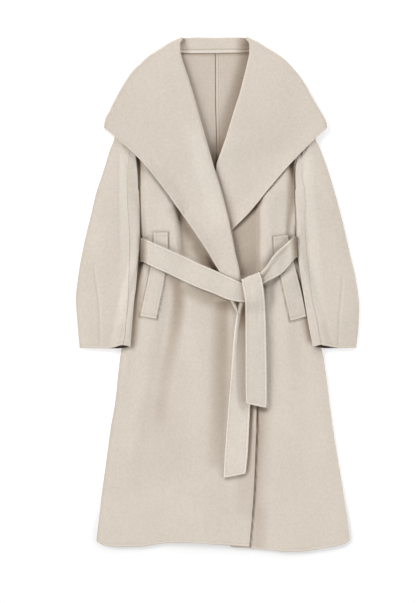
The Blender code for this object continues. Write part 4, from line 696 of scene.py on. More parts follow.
def sheet(name, mid, thick, free=(0, 0, 0, 0), sewn=(0, 0, 0, 0), nrm=None, upper=None, flip=False, tone_and_painted_light=None,
          sharp=(1, 1, 1, 1), edge_shade=0.42):
    """One closed shell of cloth round a middle surface (m x n x 3, metres).

    free says how much of a turned-in edge each side has: first row, last row,
    first column, last column; sewn says the same of a seam.  upper is added
    to the face that shows, in mm, which is the one the normals point out of,
    or the other one with flip.  The tone passed in darkens the wool, as painted shade
    and along stitched lines, and lightens it where negative, as a painted highlight.
    sharp is how many times tighter than a free edge each side is rounded.
    """
    m, n, _ = mid.shape
    if nrm is None:
        nrm = facing(mid)
    if flip:
        nrm = -nrm
    reach = reaches(mid)
    near = np.min([d * k for d, k in zip(reach, sharp)], axis=0)
    half = 0.5 * np.broadcast_to(thick, (m, n)).astype(float)
    radius = np.minimum(half, 1.2)
    w = np.clip(1 - near / radius, 0, 1)
    half = half * np.maximum(np.sqrt(np.maximum(1 - w * w, 0)), 0.10)
    roll = np.zeros((m, n))
    # rim: where a painted highlight runs along each turned-in edge; the pressed line behind it gets painted shade
    rim = np.zeros((m, n))
    for amount, d in zip(free, reach):
        amount = np.asarray(amount, float)
        roll = np.where(np.abs(amount * bead(d)) > np.abs(roll), amount * bead(d), roll)
        rim = np.maximum(rim, amount * np.exp(-((d - 2.6) / 1.5) ** 2))
    painted_groove_shade = np.clip(-roll / 0.26, 0, 1)
    # painted shade along the very edge of a layer and in the fold of a seam
    under = np.zeros((m, n))
    for amount, seam, d in zip(free, sewn, reach):
        under = np.maximum(under, edge_shade * np.asarray(amount, float) * smooth(1 - (d - 0.3) / 1.1))
        under = np.maximum(under, 0.42 * seam * smooth(1 - (d - 0.4) / 1.5))
    # painted shade and painted highlight from the piece's table, with the edge's painted shade and the tone passed in
    shade = painted_shade_at(PAINTED_LIGHT_TABLES.get(name, ()), mid[..., 0] * 1000 / SQUARE + COL_CENTRE, ROW_CENTRE - mid[..., 1] * 1000 / SQUARE)
    shade = 1 - (1 - shade) * (1 - under) * (1 - (0 if tone_and_painted_light is None else tone_and_painted_light))
    up = half + roll + (0 if upper is None else upper)
    low = half + roll
    top = mid + nrm * up[..., None] / 1000
    bot = mid - nrm * low[..., None] / 1000
    pts = np.concatenate([top.reshape(-1, 3), bot.reshape(-1, 3)])
    k = m * n
    idx = np.arange(k).reshape(m, n)
    a, b, c, d = idx[:-1, :-1], idx[:-1, 1:], idx[1:, 1:], idx[1:, :-1]
    quads = [np.stack([a, d, c, b], -1).reshape(-1, 4), np.stack([a, b, c, d], -1).reshape(-1, 4) + k]
    for line, flip in ((idx[0], False), (idx[-1], True), (idx[:, 0], True), (idx[:, -1], False)):
        strip = np.stack([line[:-1], line[1:], line[1:] + k, line[:-1] + k], -1)
        quads.append(strip[:, ::-1] if flip else strip)
    faces = np.concatenate(quads).astype(np.int32)
    mesh = bpy.data.meshes.new(name)
    mesh.vertices.add(len(pts))
    mesh.vertices.foreach_set("co", pts.astype(np.float32).ravel())
    mesh.loops.add(faces.size)
    mesh.loops.foreach_set("vertex_index", faces.ravel())
    mesh.polygons.add(len(faces))
    mesh.polygons.foreach_set("loop_start", np.arange(0, faces.size, 4, dtype=np.int32))
    mesh.update(calc_edges=True)
    mesh.validate()
    p = pts[faces]
    volume = float(np.sum(np.cross(p[:, 0], p[:, 1]) * p[:, 2]) + np.sum(np.cross(p[:, 0], p[:, 2]) * p[:, 3])) / 6
    if volume < 0:
        mesh.flip_normals()
    for label, values in (("rim", rim), ("painted_groove_shade", painted_groove_shade), ("shade", shade)):
        layer = mesh.attributes.new(label, "FLOAT", "POINT")
        layer.data.foreach_set("value", np.concatenate([values.ravel(), values.ravel()]).astype(np.float32))
    mesh.shade_smooth()
    obj = bpy.data.objects.new(name + "_cloth", mesh)
    bpy.context.scene.collection.objects.link(obj)
    PIECES[name] = obj
    return obj


# ----------------------------------------------------------------- the panels

STATIONS = 1.0 - (1.0 - np.linspace(0, 1, 13)) ** 1.4   # along a lapel, tip to shoulder


def beside_collar(seam, free):
    """A front's edge down its neck seam and its free edge, and where it starts."""
    line = join(seam, free)
    on_seam = (1.0 - STATIONS[::-1]) * length_of(seam) / length_of(line)
    return line, 0.55 * on_seam[1]


def panel(name, level, top, bottom, left, right, spacing, sides, free, start_left=0.0, start_right=0.0,
          seam_left=False, seam_right=False, extra=None, sewn=(0, 0, 0, 0), sharp=(1, 1, 1, 1)):
    """A flat-laid panel: sides are the row distances at the left and right edges."""
    left_at = (lambda t: start_left + (1 - start_left) * t) if start_left else None
    right_at = (lambda t: start_right + (1 - start_right) * t) if start_right else None
    tall = 0.5 * (length_of(left) + length_of(right)) * SQUARE
    wide = 0.5 * (length_of(bottom) + length_of(top)) * SQUARE
    rows = int(round(tall / spacing))
    cols = int(round(wide / spacing))
    t1 = spread(rows, tall, ROUND, TURNED)[0]
    count = spread(cols, wide, sides[0], sides[1]).shape[1]
    s0 = np.broadcast_to(np.linspace(0, 1, count), (len(t1), count))
    t0 = np.broadcast_to(t1[:, None], (len(t1), count))
    g = patch(top, bottom, left, right, s0, t0, left_at, right_at)
    widths = np.sum(np.linalg.norm(np.diff(g, axis=1), axis=2), axis=1) * SQUARE
    g = patch(top, bottom, left, right, spread(cols, widths, sides[0], sides[1]), t0, left_at, right_at)
    u, v = g[..., 0], g[..., 1]
    z = level(u, v)
    # the side seam: front and back meet edge on edge
    mid = to_metres(u, v, z)
    reach = reaches(mid)
    for flag, d in ((seam_left, reach[2]), (seam_right, reach[3])):
        if flag:
            z = z + flag * (AIR - 0.12) * smooth(1 - d / 9.0) * smooth((v - 262) / 20)
    mid = to_metres(u, v, z)
    upper, tone_and_painted_light = (None, None) if extra is None else extra(u, v, reach)
    return sheet(name, mid, CLOTH, free, sewn, upper=upper, flip=True, tone_and_painted_light=tone_and_painted_light, sharp=sharp)


def build_panels():
    gap = SEAM / SQUARE
    half = np.array([[gap / 2, 0.0]])
    neck = side_step(NECK_BACK, -1.3 * gap)
    centre = join(neck[5:6], CENTRE_BACK[1:])

    def felled(u, v, reach):
        """The centre back seam, felled to one side: a raised band 6 mm wide, with a painted highlight on it."""
        d = reach[2]
        band = smooth(d / 0.8) * smooth((7.2 - d) / 1.5)
        return 0.7 * band - 0.12 * np.exp(-((d - 8.0) / 0.9) ** 2), -0.08 * band

    panel("back_right", back_level,
          top=join(SHOULDER_R, neck[1:6]) - half, bottom=HEM_BACK_R - half,
          left=join(ARMHOLE_R, SIDE_R), right=centre - half, spacing=COARSE,
          sides=(ROUND, ROUND + [2.0, 3.4]), free=(0, 1, 0, 0), seam_left=0.5, sewn=(1, 0, 0, 1.6))
    panel("back_left", back_level,
          top=join(neck[5:-1], SHOULDER_L[::-1]) + half, bottom=HEM_BACK_L + half,
          left=centre + half, right=join(ARMHOLE_L, SIDE_L), spacing=COARSE,
          sides=(ROUND + [2.0, 4.0, 5.7, 6.5, 7.2, 8.0, 9.0, 12.0], ROUND), free=(0, 1, 0, 0),
          seam_right=0.5, extra=felled, sewn=(1, 0, 1.0, 0))
    line, start = beside_collar(side_step(SEAM_L, gap), FREE_L)
    panel("front_left", under_front_level,
          top=join(run(line, [start]), SHOULDER_L[::-1][1:]), bottom=HEM_L,
          left=line, right=join(ARMHOLE_L, SIDE_L), spacing=FINE,
          sides=(TURNED, ROUND), free=(0, 1, 0.6, 0), start_left=start, seam_right=-0.5, sharp=(1, 1, 1, 2.6))
    line, start = beside_collar(side_step(SEAM_R, -gap), FREE_R)
    panel("front_right", top_front_level,
          top=join(SHOULDER_R[:-1], run(line, [start])), bottom=HEM_R,
          left=join(ARMHOLE_R, SIDE_R), right=line, spacing=FINE,
          sides=(ROUND, TURNED), free=(0, 1, 0, 0.6), start_right=start, seam_left=-0.5)


# ----------------------------------------------------------------- the collar


def build_collar():
    """One sheet from lapel tip to lapel tip: stations a run from the right
    lapel's tip over the right shoulder, across the back and down to the left
    lapel's tip; across a station the sheet stands, turns over and falls."""
    inset = (1.5 * STEP + CLOTH / 2) / SQUARE
    roll_in = (STEP / 2 + CLOTH / 2) / SQUARE
    n_lapel, n_back, n_fall, n_stand = 150, 58, 66, 8
    tip_mm = length_of(ROLL_R) * SQUARE
    lapel = spread(n_lapel, tip_mm, TURNED, [FINE])[0]      # from the tip to the shoulder
    fall_w = spread(n_fall, 250.0, [FINE], TURNED)[0]
    behind = np.linspace(0, 1, n_back + 1)

    def fronts(side, u, v):
        if side == "right":
            return top_front_level(u, v), top_lapel_level(u, v)
        return under_front_level(u, v), under_lapel_level(u, v)

    def axis(points, side):
        p = side_step(points, side * inset)
        p[0] = points[0] + [0.9 * side, 2.3]
        return p

    axis_r, axis_l = axis(OVER_R, +1), axis(OVER_L, -1)
    axis_r[-1] = OVER_R[-1] + [2.2, -0.5]
    axis_l[-1] = OVER_L[-1] - [2.2, 0.5]
    def rise_at(points, side):
        """Half the height of the roll at the points of a roll line, in squares."""
        u, v = points[:, 0], points[:, 1]
        levels = fronts(side, u, v)
        return ((0.5 * (levels[1] - levels[0]) + CLOTH / 2) / SQUARE)[:, None]

    roll_r = side_step(ROLL_R, -rise_at(ROLL_R, "right"))
    roll_l = side_step(ROLL_L, +rise_at(ROLL_L, "left"))
    roll_r[0], roll_l[0] = axis_r[0], axis_l[0]
    top = NECK_TOP + [[0, roll_in]]
    top[0], top[-1] = axis_r[0], axis_l[0]
    brim_r, brim_l = BRIM_R.copy(), BRIM_L.copy()
    brim_r[0], brim_l[0] = axis_r[-1], axis_l[-1]
    cols = np.linspace(axis_r[-1][0], axis_l[-1][0], 9)
    brim_b = np.stack([cols, fall_row(cols)], axis=1)
    brim_b[0], brim_b[-1] = axis_r[-1], axis_l[-1]
    tip_r = edge(roll_r[-1], brim_r[-1])
    tip_l = edge(roll_l[-1], brim_l[-1])

    def plan_of(top_line, bottom_line, left, right, ss):
        """Plan of the fall, stations x across, with the rows by the outer edge
        at their distances in mm wherever they are."""
        s = np.broadcast_to(ss[None, :], (len(fall_w), len(ss)))
        t = np.broadcast_to(fall_w[:, None], s.shape)
        g = patch(top_line, bottom_line, left, right, s, t)
        wide = np.sum(np.linalg.norm(np.diff(g, axis=0), axis=2), axis=0) * SQUARE
        t = spread(n_fall, wide, [FINE], TURNED).T
        return np.swapaxes(patch(top_line, bottom_line, left, right, s, t), 0, 1)

    plan_r = plan_of(roll_r[::-1], brim_r[::-1], tip_r, axis_r, lapel)
    plan_b = plan_of(top, brim_b, axis_r, axis_l, behind)
    plan_l = plan_of(roll_l, brim_l, axis_l, tip_l, 1 - lapel[::-1])
    seam_r = run(SEAM_R[::-1], lapel)
    seam_b = run(NECK_BACK, behind)
    seam_l = run(SEAM_L, 1 - lapel[::-1])

    def outward(line, side):
        """Across the fold over a shoulder, turning downwards at the corner."""
        t = np.gradient(line, axis=0)
        t /= np.linalg.norm(t, axis=1, keepdims=True)
        w = smooth(1 - np.hypot(*(line - line[-1]).T) / 4.0)[:, None]
        way = side * np.stack([t[:, 1], -t[:, 0]], axis=1) * (1 - 0.35 * w) + np.array([[0.0, 0.75]]) * w
        return way / np.linalg.norm(way, axis=1, keepdims=True)

    turn = [75, 60, 45, 30, 15, 0, -15, -30, -45, -60, -75]
    stations = []
    nl, nb, nt = len(lapel), len(behind), len(turn)
    for k in range(nl):
        stations.append((plan_r[k], seam_r[k], "right", 90, None))
    for a in turn:
        stations.append((plan_r[-1], seam_r[-1], "right", a, outward(plan_r[-1], -1)))
    for k in range(nb):
        stations.append((plan_b[k], seam_b[k], "back", -90, None))
    for a in turn[::-1]:
        stations.append((plan_l[0], seam_l[0], "left", a, outward(plan_l[0], +1)))
    for k in range(nl):
        stations.append((plan_l[k], seam_l[k], "left", 90, None))

    starts = np.array([st[0][0] for st in stations])
    angles = np.array([st[3] for st in stations])
    bulges = np.zeros_like(starts)
    for a, b, way in ((0, nl, -1), (nl + nt, nl + nt + nb, 1), (nl + 2 * nt + nb, 2 * nl + 2 * nt + nb, -1)):
        t = np.gradient(starts[a:b], axis=0)
        t /= np.linalg.norm(t, axis=1, keepdims=True)
        bulges[a:b] = way * np.stack([t[:, 1], -t[:, 0]], axis=1)
    for a in (nl, nl + nt + nb):
        for k in range(nt):
            w = (k + 1) / (nt + 1)
            both = bulges[a - 1] * (1 - w) + bulges[a + nt] * w
            bulges[a + k] = both / np.linalg.norm(both)
    bulges = np.stack([np.convolve(np.pad(bulges[:, i], 2, mode="edge"), np.ones(5) / 5, mode="valid")
                       for i in (0, 1)], axis=1)
    stand_at = spread(n_stand, 24.0, ROUND + [2.4, 5.0, 7.0, 7.9, 8.5, 9.2, 9.9, 10.6, 11.6], [3.0])[0][:, None]
    ring_at = np.radians(np.linspace(0, 180, 15)[1:-1])

    rows = []
    for (plan, seam, side, angle, out), away in zip(stations, bulges):
        start = plan[0]
        stand = seam + (start - seam) * stand_at

        def place(points, is_fall):
            u, v = points[:, 0], points[:, 1]
            behind_z = np.full(len(u), CLOTH / 2) if is_fall else back_level(u, v)
            if side == "back":
                return to_metres(u, v, behind_z)
            front_z = fronts(side, u, v)[1 if is_fall else 0]
            if angle == 90:
                return to_metres(u, v, front_z)
            if is_fall:
                o = out
            else:
                up = start - seam
                o = np.array([[up[1], -up[0]]]) / np.linalg.norm(up)
                o = o * np.sign(np.sum(o * out[:1]))
            rad = 0.5 * (front_z - behind_z)
            th = math.radians(angle)
            shift = o * (rad * math.cos(th) / SQUARE)[:, None]
            return to_metres(u + shift[:, 0], v + shift[:, 1], 0.5 * (front_z + behind_z) + rad * math.sin(th))

        inner, outer = place(stand, False), place(plan, True)
        chord = outer[0] - inner[-1]
        bulge = np.array([away[0], -away[1], 0.0])
        bulge -= chord * np.dot(bulge, chord) / np.dot(chord, chord)
        bulge /= np.linalg.norm(bulge)
        radius = 0.5 * np.linalg.norm(chord)
        middle = 0.5 * (outer[0] + inner[-1])
        ring = [middle - 0.5 * chord * math.cos(w) + bulge * radius * math.sin(w) for w in ring_at]
        rows.append(np.concatenate([inner, ring, outer]))
    mid = np.array(rows)
    # the roll isn't a wire: its turn is eased into stand and fall
    crossing = np.array([1.0 if a not in (90, -90) else 0.0 for a in angles])
    crossing = np.convolve(np.pad(crossing, 3, mode="edge"), np.ones(7) / 7, mode="valid")
    crossing = np.clip(crossing * 1.6, 0, 1)
    n_in = len(stand_at)
    turned = np.zeros(mid.shape[1])
    turned[max(0, n_in - 6):n_in + len(ring_at) + 6] = 1.0
    thick = CLOTH * (1 - 0.36 * crossing[:, None] * turned[None, :])
    d = reaches(mid)[2]
    at_back = np.array([1.0 if st[2] == "back" else 0.0 for st in stations])[:, None]
    ridge = smooth(d / 0.8) * smooth((8.8 - d) / 1.2)
    felled = at_back * (1.0 * ridge - 0.35 * np.exp(-((d - 9.8) / 0.9) ** 2))
    u, v = mid[..., 0] * 1000 / SQUARE + COL_CENTRE, ROW_CENTRE - mid[..., 1] * 1000 / SQUARE
    # painted shade on the stand, a painted highlight on its felled ridge and painted shade along the ridge's edge; the
    # lapels take their own painted light
    on_stand = 1 - smooth((np.arange(mid.shape[1]) - n_in - 4) / 8.0)[None, :]
    stand_painted_light = 1 - (1 - painted_shade_at(STAND_PAINTED_LIGHT, u, v)) * (1 + 0.13 * at_back * ridge) * (
        1 - 0.34 * at_back * np.exp(-((d - 9.9) / 1.0) ** 2))
    tone_and_painted_light = stand_painted_light * on_stand + painted_shade_at(LAPEL_PAINTED_LIGHT, u, v) * (1 - on_stand)
    return sheet("collar", mid, thick, free=(0, 0, 0, 1.0), sewn=(0, 0, 0.9, 0), flip=True, upper=felled, tone_and_painted_light=tone_and_painted_light,
                 edge_shade=0.2)


# ---------------------------------------------------------------- the sleeves


def build_sleeve(side):
    """A flattened tube from the armhole to the cuff, in an upper and an under
    piece: the front seam runs down the upper face beside the inner edge, the
    back seam under the outer edge."""
    right = side == "right"
    hole, inn, out, cuff, body = ((ARMHOLE_R, SLEEVE_IN_R, SLEEVE_OUT_R, CUFF_R, SIDE_R) if right else
                                  (ARMHOLE_L, SLEEVE_IN_L, SLEEVE_OUT_L, CUFF_L, SIDE_L))
    sign = 1.0 if right else -1.0                    # +1: the body is at higher columns
    rim = hole - [[sign * (0.17 if right else 0.08), 0]]
    rim[0], rim[-1] = out[0], inn[0]
    inset = (STEP / 2 + CLOTH / 2) / SQUARE

    def rest(u, v):
        """Level of the under face's middle: floor, collar fall, body's edge."""
        edge_u = sum(at_row(body, v + k) for k in (-18, -12, -6, 0, 6, 12, 18)) / 7
        over = smooth(((u - edge_u) * sign + 13.0) / 10.0) * smooth((v - 200.0) / 62.0)
        on_fall = smooth((fall_row(u) + 2.0 + FALL_RAMP - v) / FALL_RAMP)
        ground = CLOTH / 2 + STEP * on_fall
        body_top = highest(front_top, np.maximum(u * sign, edge_u * sign) * sign, v, 3.0) + AIR + CLOTH / 2
        return ground + (body_top - ground) * over

    rows = spread(150, 580.0, ROUND, TURNED)[0]
    nine = np.linspace(0, 1, 9)
    s = np.broadcast_to(nine[None, :], (len(rows), 9))
    t = np.broadcast_to(rows[:, None], s.shape)
    flat = patch(rim, cuff, out, inn, s, t)          # outer edge -> inner edge

    def off_edge(line, inside):
        t = np.gradient(line, axis=0)
        nn = np.stack([t[:, 1], -t[:, 0]], axis=1)
        nn /= np.linalg.norm(nn, axis=1, keepdims=True)
        nn = nn * np.sign(np.sum(nn * (line - inside), axis=1, keepdims=True))
        nn = np.stack([np.convolve(np.pad(nn[:, i], 4, mode="edge"), np.ones(9) / 9, mode="valid")
                       for i in (0, 1)], axis=1)
        return nn / np.linalg.norm(nn, axis=1, keepdims=True)

    out_n, in_n = off_edge(flat[:, 0], flat[:, 4]), off_edge(flat[:, -1], flat[:, 4])
    frac = nine[None, :, None]
    plan = flat - inset * (out_n[:, None] * (1 - frac) + in_n[:, None] * frac)
    width = np.linalg.norm(plan[:, -1] - plan[:, 0], axis=1)
    down = smooth(rows / 0.25) * (0.55 + 0.45 * smooth((1.0 - rows) / 0.12))
    seam_line = SLEEVE_SEAM_R if right else SLEEVE_SEAM_L
    back_at = 0.14

    def full(across, u, v):
        """How far the upper face stands off the under face, mm."""
        body_of = 7.5 * np.sin(np.pi * np.clip(across, 0, 1)) ** 0.7
        return body_of * down + sleeve_relief(right, u, v) * np.sin(np.pi * np.clip(across, 0, 1)) ** 0.5

    def place(across, layer, angle=None):
        """Line of points down the sleeve: layer +1 upper, -1 under, or an
        angle on the half circle of an edge fold; across may change down it."""
        across = np.broadcast_to(np.asarray(across, float), (len(rows),))
        pos = across * 8
        i = np.clip(np.floor(pos).astype(int), 0, 7)
        f = (pos - i)[:, None]
        r = np.arange(len(rows))
        c = plan[r, i] * (1 - f) + plan[r, i + 1] * f
        u, v = c[:, 0], c[:, 1]
        low = rest(u, v)
        if angle is None:
            # the upper layer's edge curls back from the cuff's mouth
            back = np.interp(u, *CUFF_MOUTH[side]) * smooth((v - 331.0) / 15.0) if layer > 0 else 0.0
            return to_metres(u, v - back, low if layer < 0 else low + STEP + full(across, u, v) + 0.5 * back)
        off = (out_n if across[0] < 0.5 else in_n) * STEP / 2 / SQUARE
        th = math.radians(angle)
        return to_metres(u + off[:, 0] * math.cos(th), v + off[:, 1] * math.cos(th),
                         low + STEP / 2 * (1 + math.sin(th)))

    # where the front seam lies across the sleeve, row by row
    mid_v = plan[:, 4, 1]
    want = at_row(seam_line, mid_v)
    seam_at = np.clip((want - plan[:, 0, 0]) / (plan[:, -1, 0] - plan[:, 0, 0]), 0.5, 0.97)
    half = (SEAM / 2) / SQUARE / width
    folds = [75, 50, 25, 0, -25, -50, -75]
    beside = np.array([0.12, 0.4, 0.8, 1.2, 2.2, 3.2, 4.2, 5.4]) / SQUARE
    n_up, n_low = 34, 30
    # upper piece: seam -> outer edge -> round -> back seam
    first = seam_at - half
    upper = [place(first, +1)] + [place(first - b / width, +1) for b in beside]
    last = first - beside[-1] / width
    upper += [place(last * (1 - k / n_up), +1) for k in range(1, n_up + 1)]
    upper += [place(np.zeros(len(rows)), 0, a) for a in folds]
    ub = back_at - half
    upper += [place(ub * k / 8, -1) for k in range(0, 8)]
    upper += [place(ub - b / width, -1) for b in (1.0 / SQUARE, 0.4 / SQUARE)] + [place(ub, -1)]
    # under piece: back seam -> inner edge -> round -> front seam
    lb = back_at + half
    under = [place(lb, -1)] + [place(lb + b / width, -1) for b in (0.4 / SQUARE, 1.0 / SQUARE)]
    start = lb + 1.0 / SQUARE / width
    under += [place(start + (1 - start) * k / n_low, -1) for k in range(1, n_low + 1)]
    under += [place(np.ones(len(rows)), 0, a) for a in folds[::-1]]
    second = seam_at + half
    far = 1 - second
    under += [place(1 - far * k / 6 * 0.7, +1) for k in range(0, 6)]
    under += [place(second + b / SQUARE / width, +1) for b in (2.0, 1.2, 0.8, 0.4, 0.12)] + [place(second, +1)]
    upper, under = np.array(upper), np.array(under)
    n_a, n_b = facing(upper), facing(under)
    for i, j in ((0, -1), (-1, 0)):                  # the same slope on both sides of a seam
        both = n_a[i] + n_b[j]
        both /= np.linalg.norm(both, axis=1, keepdims=True)
        n_a[i] = n_b[j] = both
    # the seam is felled towards the upper piece: a low ridge beside it
    d = reaches(upper)[0]
    ridge = 0.36 * smooth(d / 0.9) * smooth((6.0 - d) / 1.8) - 0.10 * np.exp(-((d - 6.6) / 1.0) ** 2)
    inside = np.zeros(len(under))
    inside[:-13 - len(folds)] = 1.0
    # painted shade on the under layer, seen inside the cuff's mouth
    mouth = painted_shade_at(CUFF_PAINTED_SHADE, under[..., 0] * 1000 / SQUARE + COL_CENTRE, ROW_CENTRE - under[..., 1] * 1000 / SQUARE)
    sheet("sleeve_%s_upper" % side, upper, CLOTH, (0, 0, 0, 1), (0.22, 0, 0, 0), nrm=n_a, upper=ridge, flip=right,
          sharp=(1.6, 1.6, 2.6, 1))
    sheet("sleeve_%s_under" % side, under, CLOTH, (0, 0, 0, 1), (0, 0.22, 0, 0), nrm=n_b, flip=right,
          tone_and_painted_light=mouth * inside[:, None], sharp=(1.6, 1.6, 2.6, 1))


# how far the upper edge of each cuff curls back, in squares, at each column
CUFF_MOUTH = {"right": ([110, 115, 119, 123, 127, 129.5], [0.0, 1.1, 2.6, 3.0, 1.6, 0.0]),
              "left": ([315, 317.5, 321, 325, 331, 339], [0.0, 1.8, 3.0, 2.6, 1.2, 0.0])}

SLEEVE_SEAM_R = edge((125.6, 130), (126, 158), (126.5, 180), (127, 195), (128, 210), (129, 220), (129, 244),
                     (128.8, 265), (127.6, 298), (126.3, 314.6), (125.5, 330), (123.4, 347))
SLEEVE_SEAM_L = edge((301.6, 130), (302, 158), (303, 170), (304, 180), (305.5, 195), (306, 210), (307, 225),
                     (307.5, 240), (309, 255), (310, 265), (311, 275), (312, 285), (313.5, 295), (317, 313),
                     (319, 330), (321, 347))
SLEEVE_FOLDS_R = [
    dict(path=edge((119, 132), (118.6, 170), (118.4, 215), (119.5, 262)), height=-0.9, left=7, right=4.5, fade=(20, 26)),
    dict(path=edge((92.6, 262), (95, 280), (97, 290), (98, 300), (99, 312), (99.3, 330), (99.6, 346)), height=-0.8,
         left=1.6, right=1.6, fade=(14, 1)),
    dict(path=edge((96, 176), (97, 220), (103, 280), (108, 330)), height=1.0, left=8, right=12, fade=(40, 40)),
    dict(path=edge((127, 150), (112, 176), (98, 206)), height=-0.9, left=7, right=8, fade=(10, 14)),
    dict(path=edge((124, 250), (110, 290), (86, 318)), height=-0.8, left=8, right=9, fade=(14, 14)),
]
SLEEVE_FOLDS_L = [
    dict(path=edge((313, 132), (316, 170), (320, 215), (324, 262)), height=-0.7, left=5, right=8, fade=(20, 26)),
    dict(path=edge((341.8, 272), (341.2, 282), (340, 300), (338.5, 315), (338, 331), (337.6, 346)), height=-0.8,
         left=1.6, right=1.6, fade=(14, 1)),
    dict(path=edge((334, 190), (340, 240), (342, 300), (345, 340)), height=0.9, left=12, right=8, fade=(40, 40)),
    dict(path=edge((304, 160), (318, 186), (334, 214)), height=-0.8, left=7, right=8, fade=(10, 14)),
    dict(path=edge((312, 262), (326, 300), (352, 326)), height=-0.8, left=8, right=9, fade=(14, 14)),
]


def sleeve_relief(right, u, v):
    total = 0.9 * undulation(u + 40, v + 13)
    for f in (SLEEVE_FOLDS_R if right else SLEEVE_FOLDS_L):
        total = total + crease(u, v, f["path"], f["height"], f["left"], f["right"], *f["fade"])
    return total


# ------------------------------------------------------- welts, belt and tails

BRIM_TIP = edge((206, 251), (219.5, 272), (234.4, 281), (241, 281.5), (250, 276))


def inside_welt(u, v):
    """1 on a welt, 0 away from it, soft over a few squares."""
    total = 0.0
    for welt in (WELT_R, WELT_L):
        left = np.array([r["left"] for r in welt], float)
        right = np.array([r["right"] for r in welt], float)
        vv = np.clip(v, left[0, 1], left[-1, 1])
        a = smooth((u - at_row(left, vv) + 9) / 7) * smooth((at_row(right, vv) + 9 - u) / 7)
        b = smooth((v - left[0, 1] + 9) / 7) * smooth((left[-1, 1] + 11 - v) / 7)
        total = total + a * b
    return total


def under_belt(u, v):
    """What the belt lies on: the fronts, the welts and the lapel's tip on them."""
    tip_row = along(BRIM_TIP[:, 0], BRIM_TIP[:, 1], u)
    on_tip = smooth((tip_row + 10 - v) / 7) * smooth((u - 205) / 8) * smooth((250 - u) / 8)
    return front_top(u, v) + STEP * inside_welt(u, v) + STEP * on_tip


def under_band(u, v):
    """The same, with room for the knot's turn between the band and the coat."""
    room = smooth((u - 227) / 11) * smooth((277 - u) / 10)
    return under_belt(u, v) + BELT_STEP * room


def rails(table, first, second, spacing, start=ROUND, end=ROUND):
    """The two edges of a strip, sampled every few mm along its middle."""
    a = np.array([r[first] for r in table], float)
    b = np.array([r[second] for r in table], float)
    k = np.arange(len(table), dtype=float)
    q = np.linspace(0, len(table) - 1, 40 * len(table))
    la = np.stack([along(k, a[:, 0], q), along(k, a[:, 1], q)], axis=1)
    lb = np.stack([along(k, b[:, 0], q), along(k, b[:, 1], q)], axis=1)
    c = np.concatenate([[0.0], np.cumsum(np.hypot(*np.diff(0.5 * (la + lb), axis=0).T))]) * SQUARE
    at = spread(max(2, int(round(c[-1] / spacing))), c[-1], start, end)[0] * c[-1]
    q = np.interp(at, c, q)
    return (np.stack([along(k, a[:, 0], q), along(k, a[:, 1], q)], axis=1),
            np.stack([along(k, b[:, 0], q), along(k, b[:, 1], q)], axis=1), q)


def across_strip(a, b, n=12, first=TURNED, last=TURNED):
    """Points across each row of a strip, those by its edges at set distances."""
    f = spread(n, np.linalg.norm(b - a, axis=1) * SQUARE, first, last)[..., None]
    g = a[:, None] + (b - a)[:, None] * f
    return g[..., 0], g[..., 1]


def lay_flat(u, v, ground, rounds):
    """Levels of a firm strip on the ground given: straight across, tilted as
    the ground is, clear of it everywhere, and evened out along."""
    step = np.hypot(np.diff(u, axis=1), np.diff(v, axis=1))
    x = np.concatenate([np.zeros((len(u), 1)), np.cumsum(step, axis=1)], axis=1)
    x = 2 * x / x[:, -1:] - 1
    weight = np.gradient(x, axis=1)
    x0 = np.sum(weight * x, axis=1, keepdims=True) / np.sum(weight, axis=1, keepdims=True)
    slope = np.sum(weight * (x - x0) * ground, axis=1) / np.sum(weight * (x - x0) ** 2, axis=1)
    for _ in range(rounds):
        slope = np.convolve(np.pad(slope, 1, mode="edge"), [0.25, 0.5, 0.25], mode="valid")
    level = even_out(np.max(ground - slope[:, None] * x, axis=1), rounds)
    return level[:, None] + slope[:, None] * x


def blunt(u, v, row, col, radius):
    """Rounds one corner of a strip's grid; row and col are 0 or -1."""
    a = np.hypot(u - u[:, [col]], v - v[:, [col]])
    b = np.hypot(u - u[[row], :], v - v[[row], :])
    side = np.array([u[row, col] - u[row, -1 - col], v[row, col] - v[row, -1 - col]])
    end = np.array([u[row, col] - u[-1 - row, col], v[row, col] - v[-1 - row, col]])
    side, end = side / np.linalg.norm(side), end / np.linalg.norm(end)
    x, y = np.clip(1 - a / radius, 0, 1), np.clip(1 - b / radius, 0, 1)
    move_x = radius * x * (np.sqrt(1 - y * y / 2) - 1)
    move_y = radius * y * (np.sqrt(1 - x * x / 2) - 1)
    return u + side[0] * move_x + end[0] * move_y, v + side[1] * move_x + end[1] * move_y


def build_welt(name, table):
    ends = TURNED + [9.2, 10.2, 11.4]
    a, b, _ = rails(table, "left", "right", 3.4, ends, ends)
    u, v = across_strip(a, b, 8)
    low = front_top(u, v)
    wide = highest(front_top, u, v, 3.0)
    thick = 1.7
    z = 0.6 * low + 0.4 * wide + 0.35 + thick / 2
    mid = to_metres(u, v, z)
    # a stitched line across each end
    near = np.minimum(*reaches(mid)[:2])
    line = np.exp(-((near - 9.2) / 0.9) ** 2)
    return sheet(name, mid, thick, free=(0.9, 0.9, 0.9, 0.9), upper=-0.35 * line, tone_and_painted_light=0.14 * line)


BELT_LINE = {}
# rows of the band by its upper edge, the last ones where a fold of it ends
FOLDED = TURNED + [9.2, 10.0, 11.0, 12.6]


def knot_low():
    """Level of the knot's turn where it passes between the band and the coat."""
    ends = np.array([r[k] for r in KNOT[:3] for k in ("left", "right")], float)
    return float(np.max(highest(under_belt, ends[:, 0], ends[:, 1], 4.0))) + AIR + BELT / 2


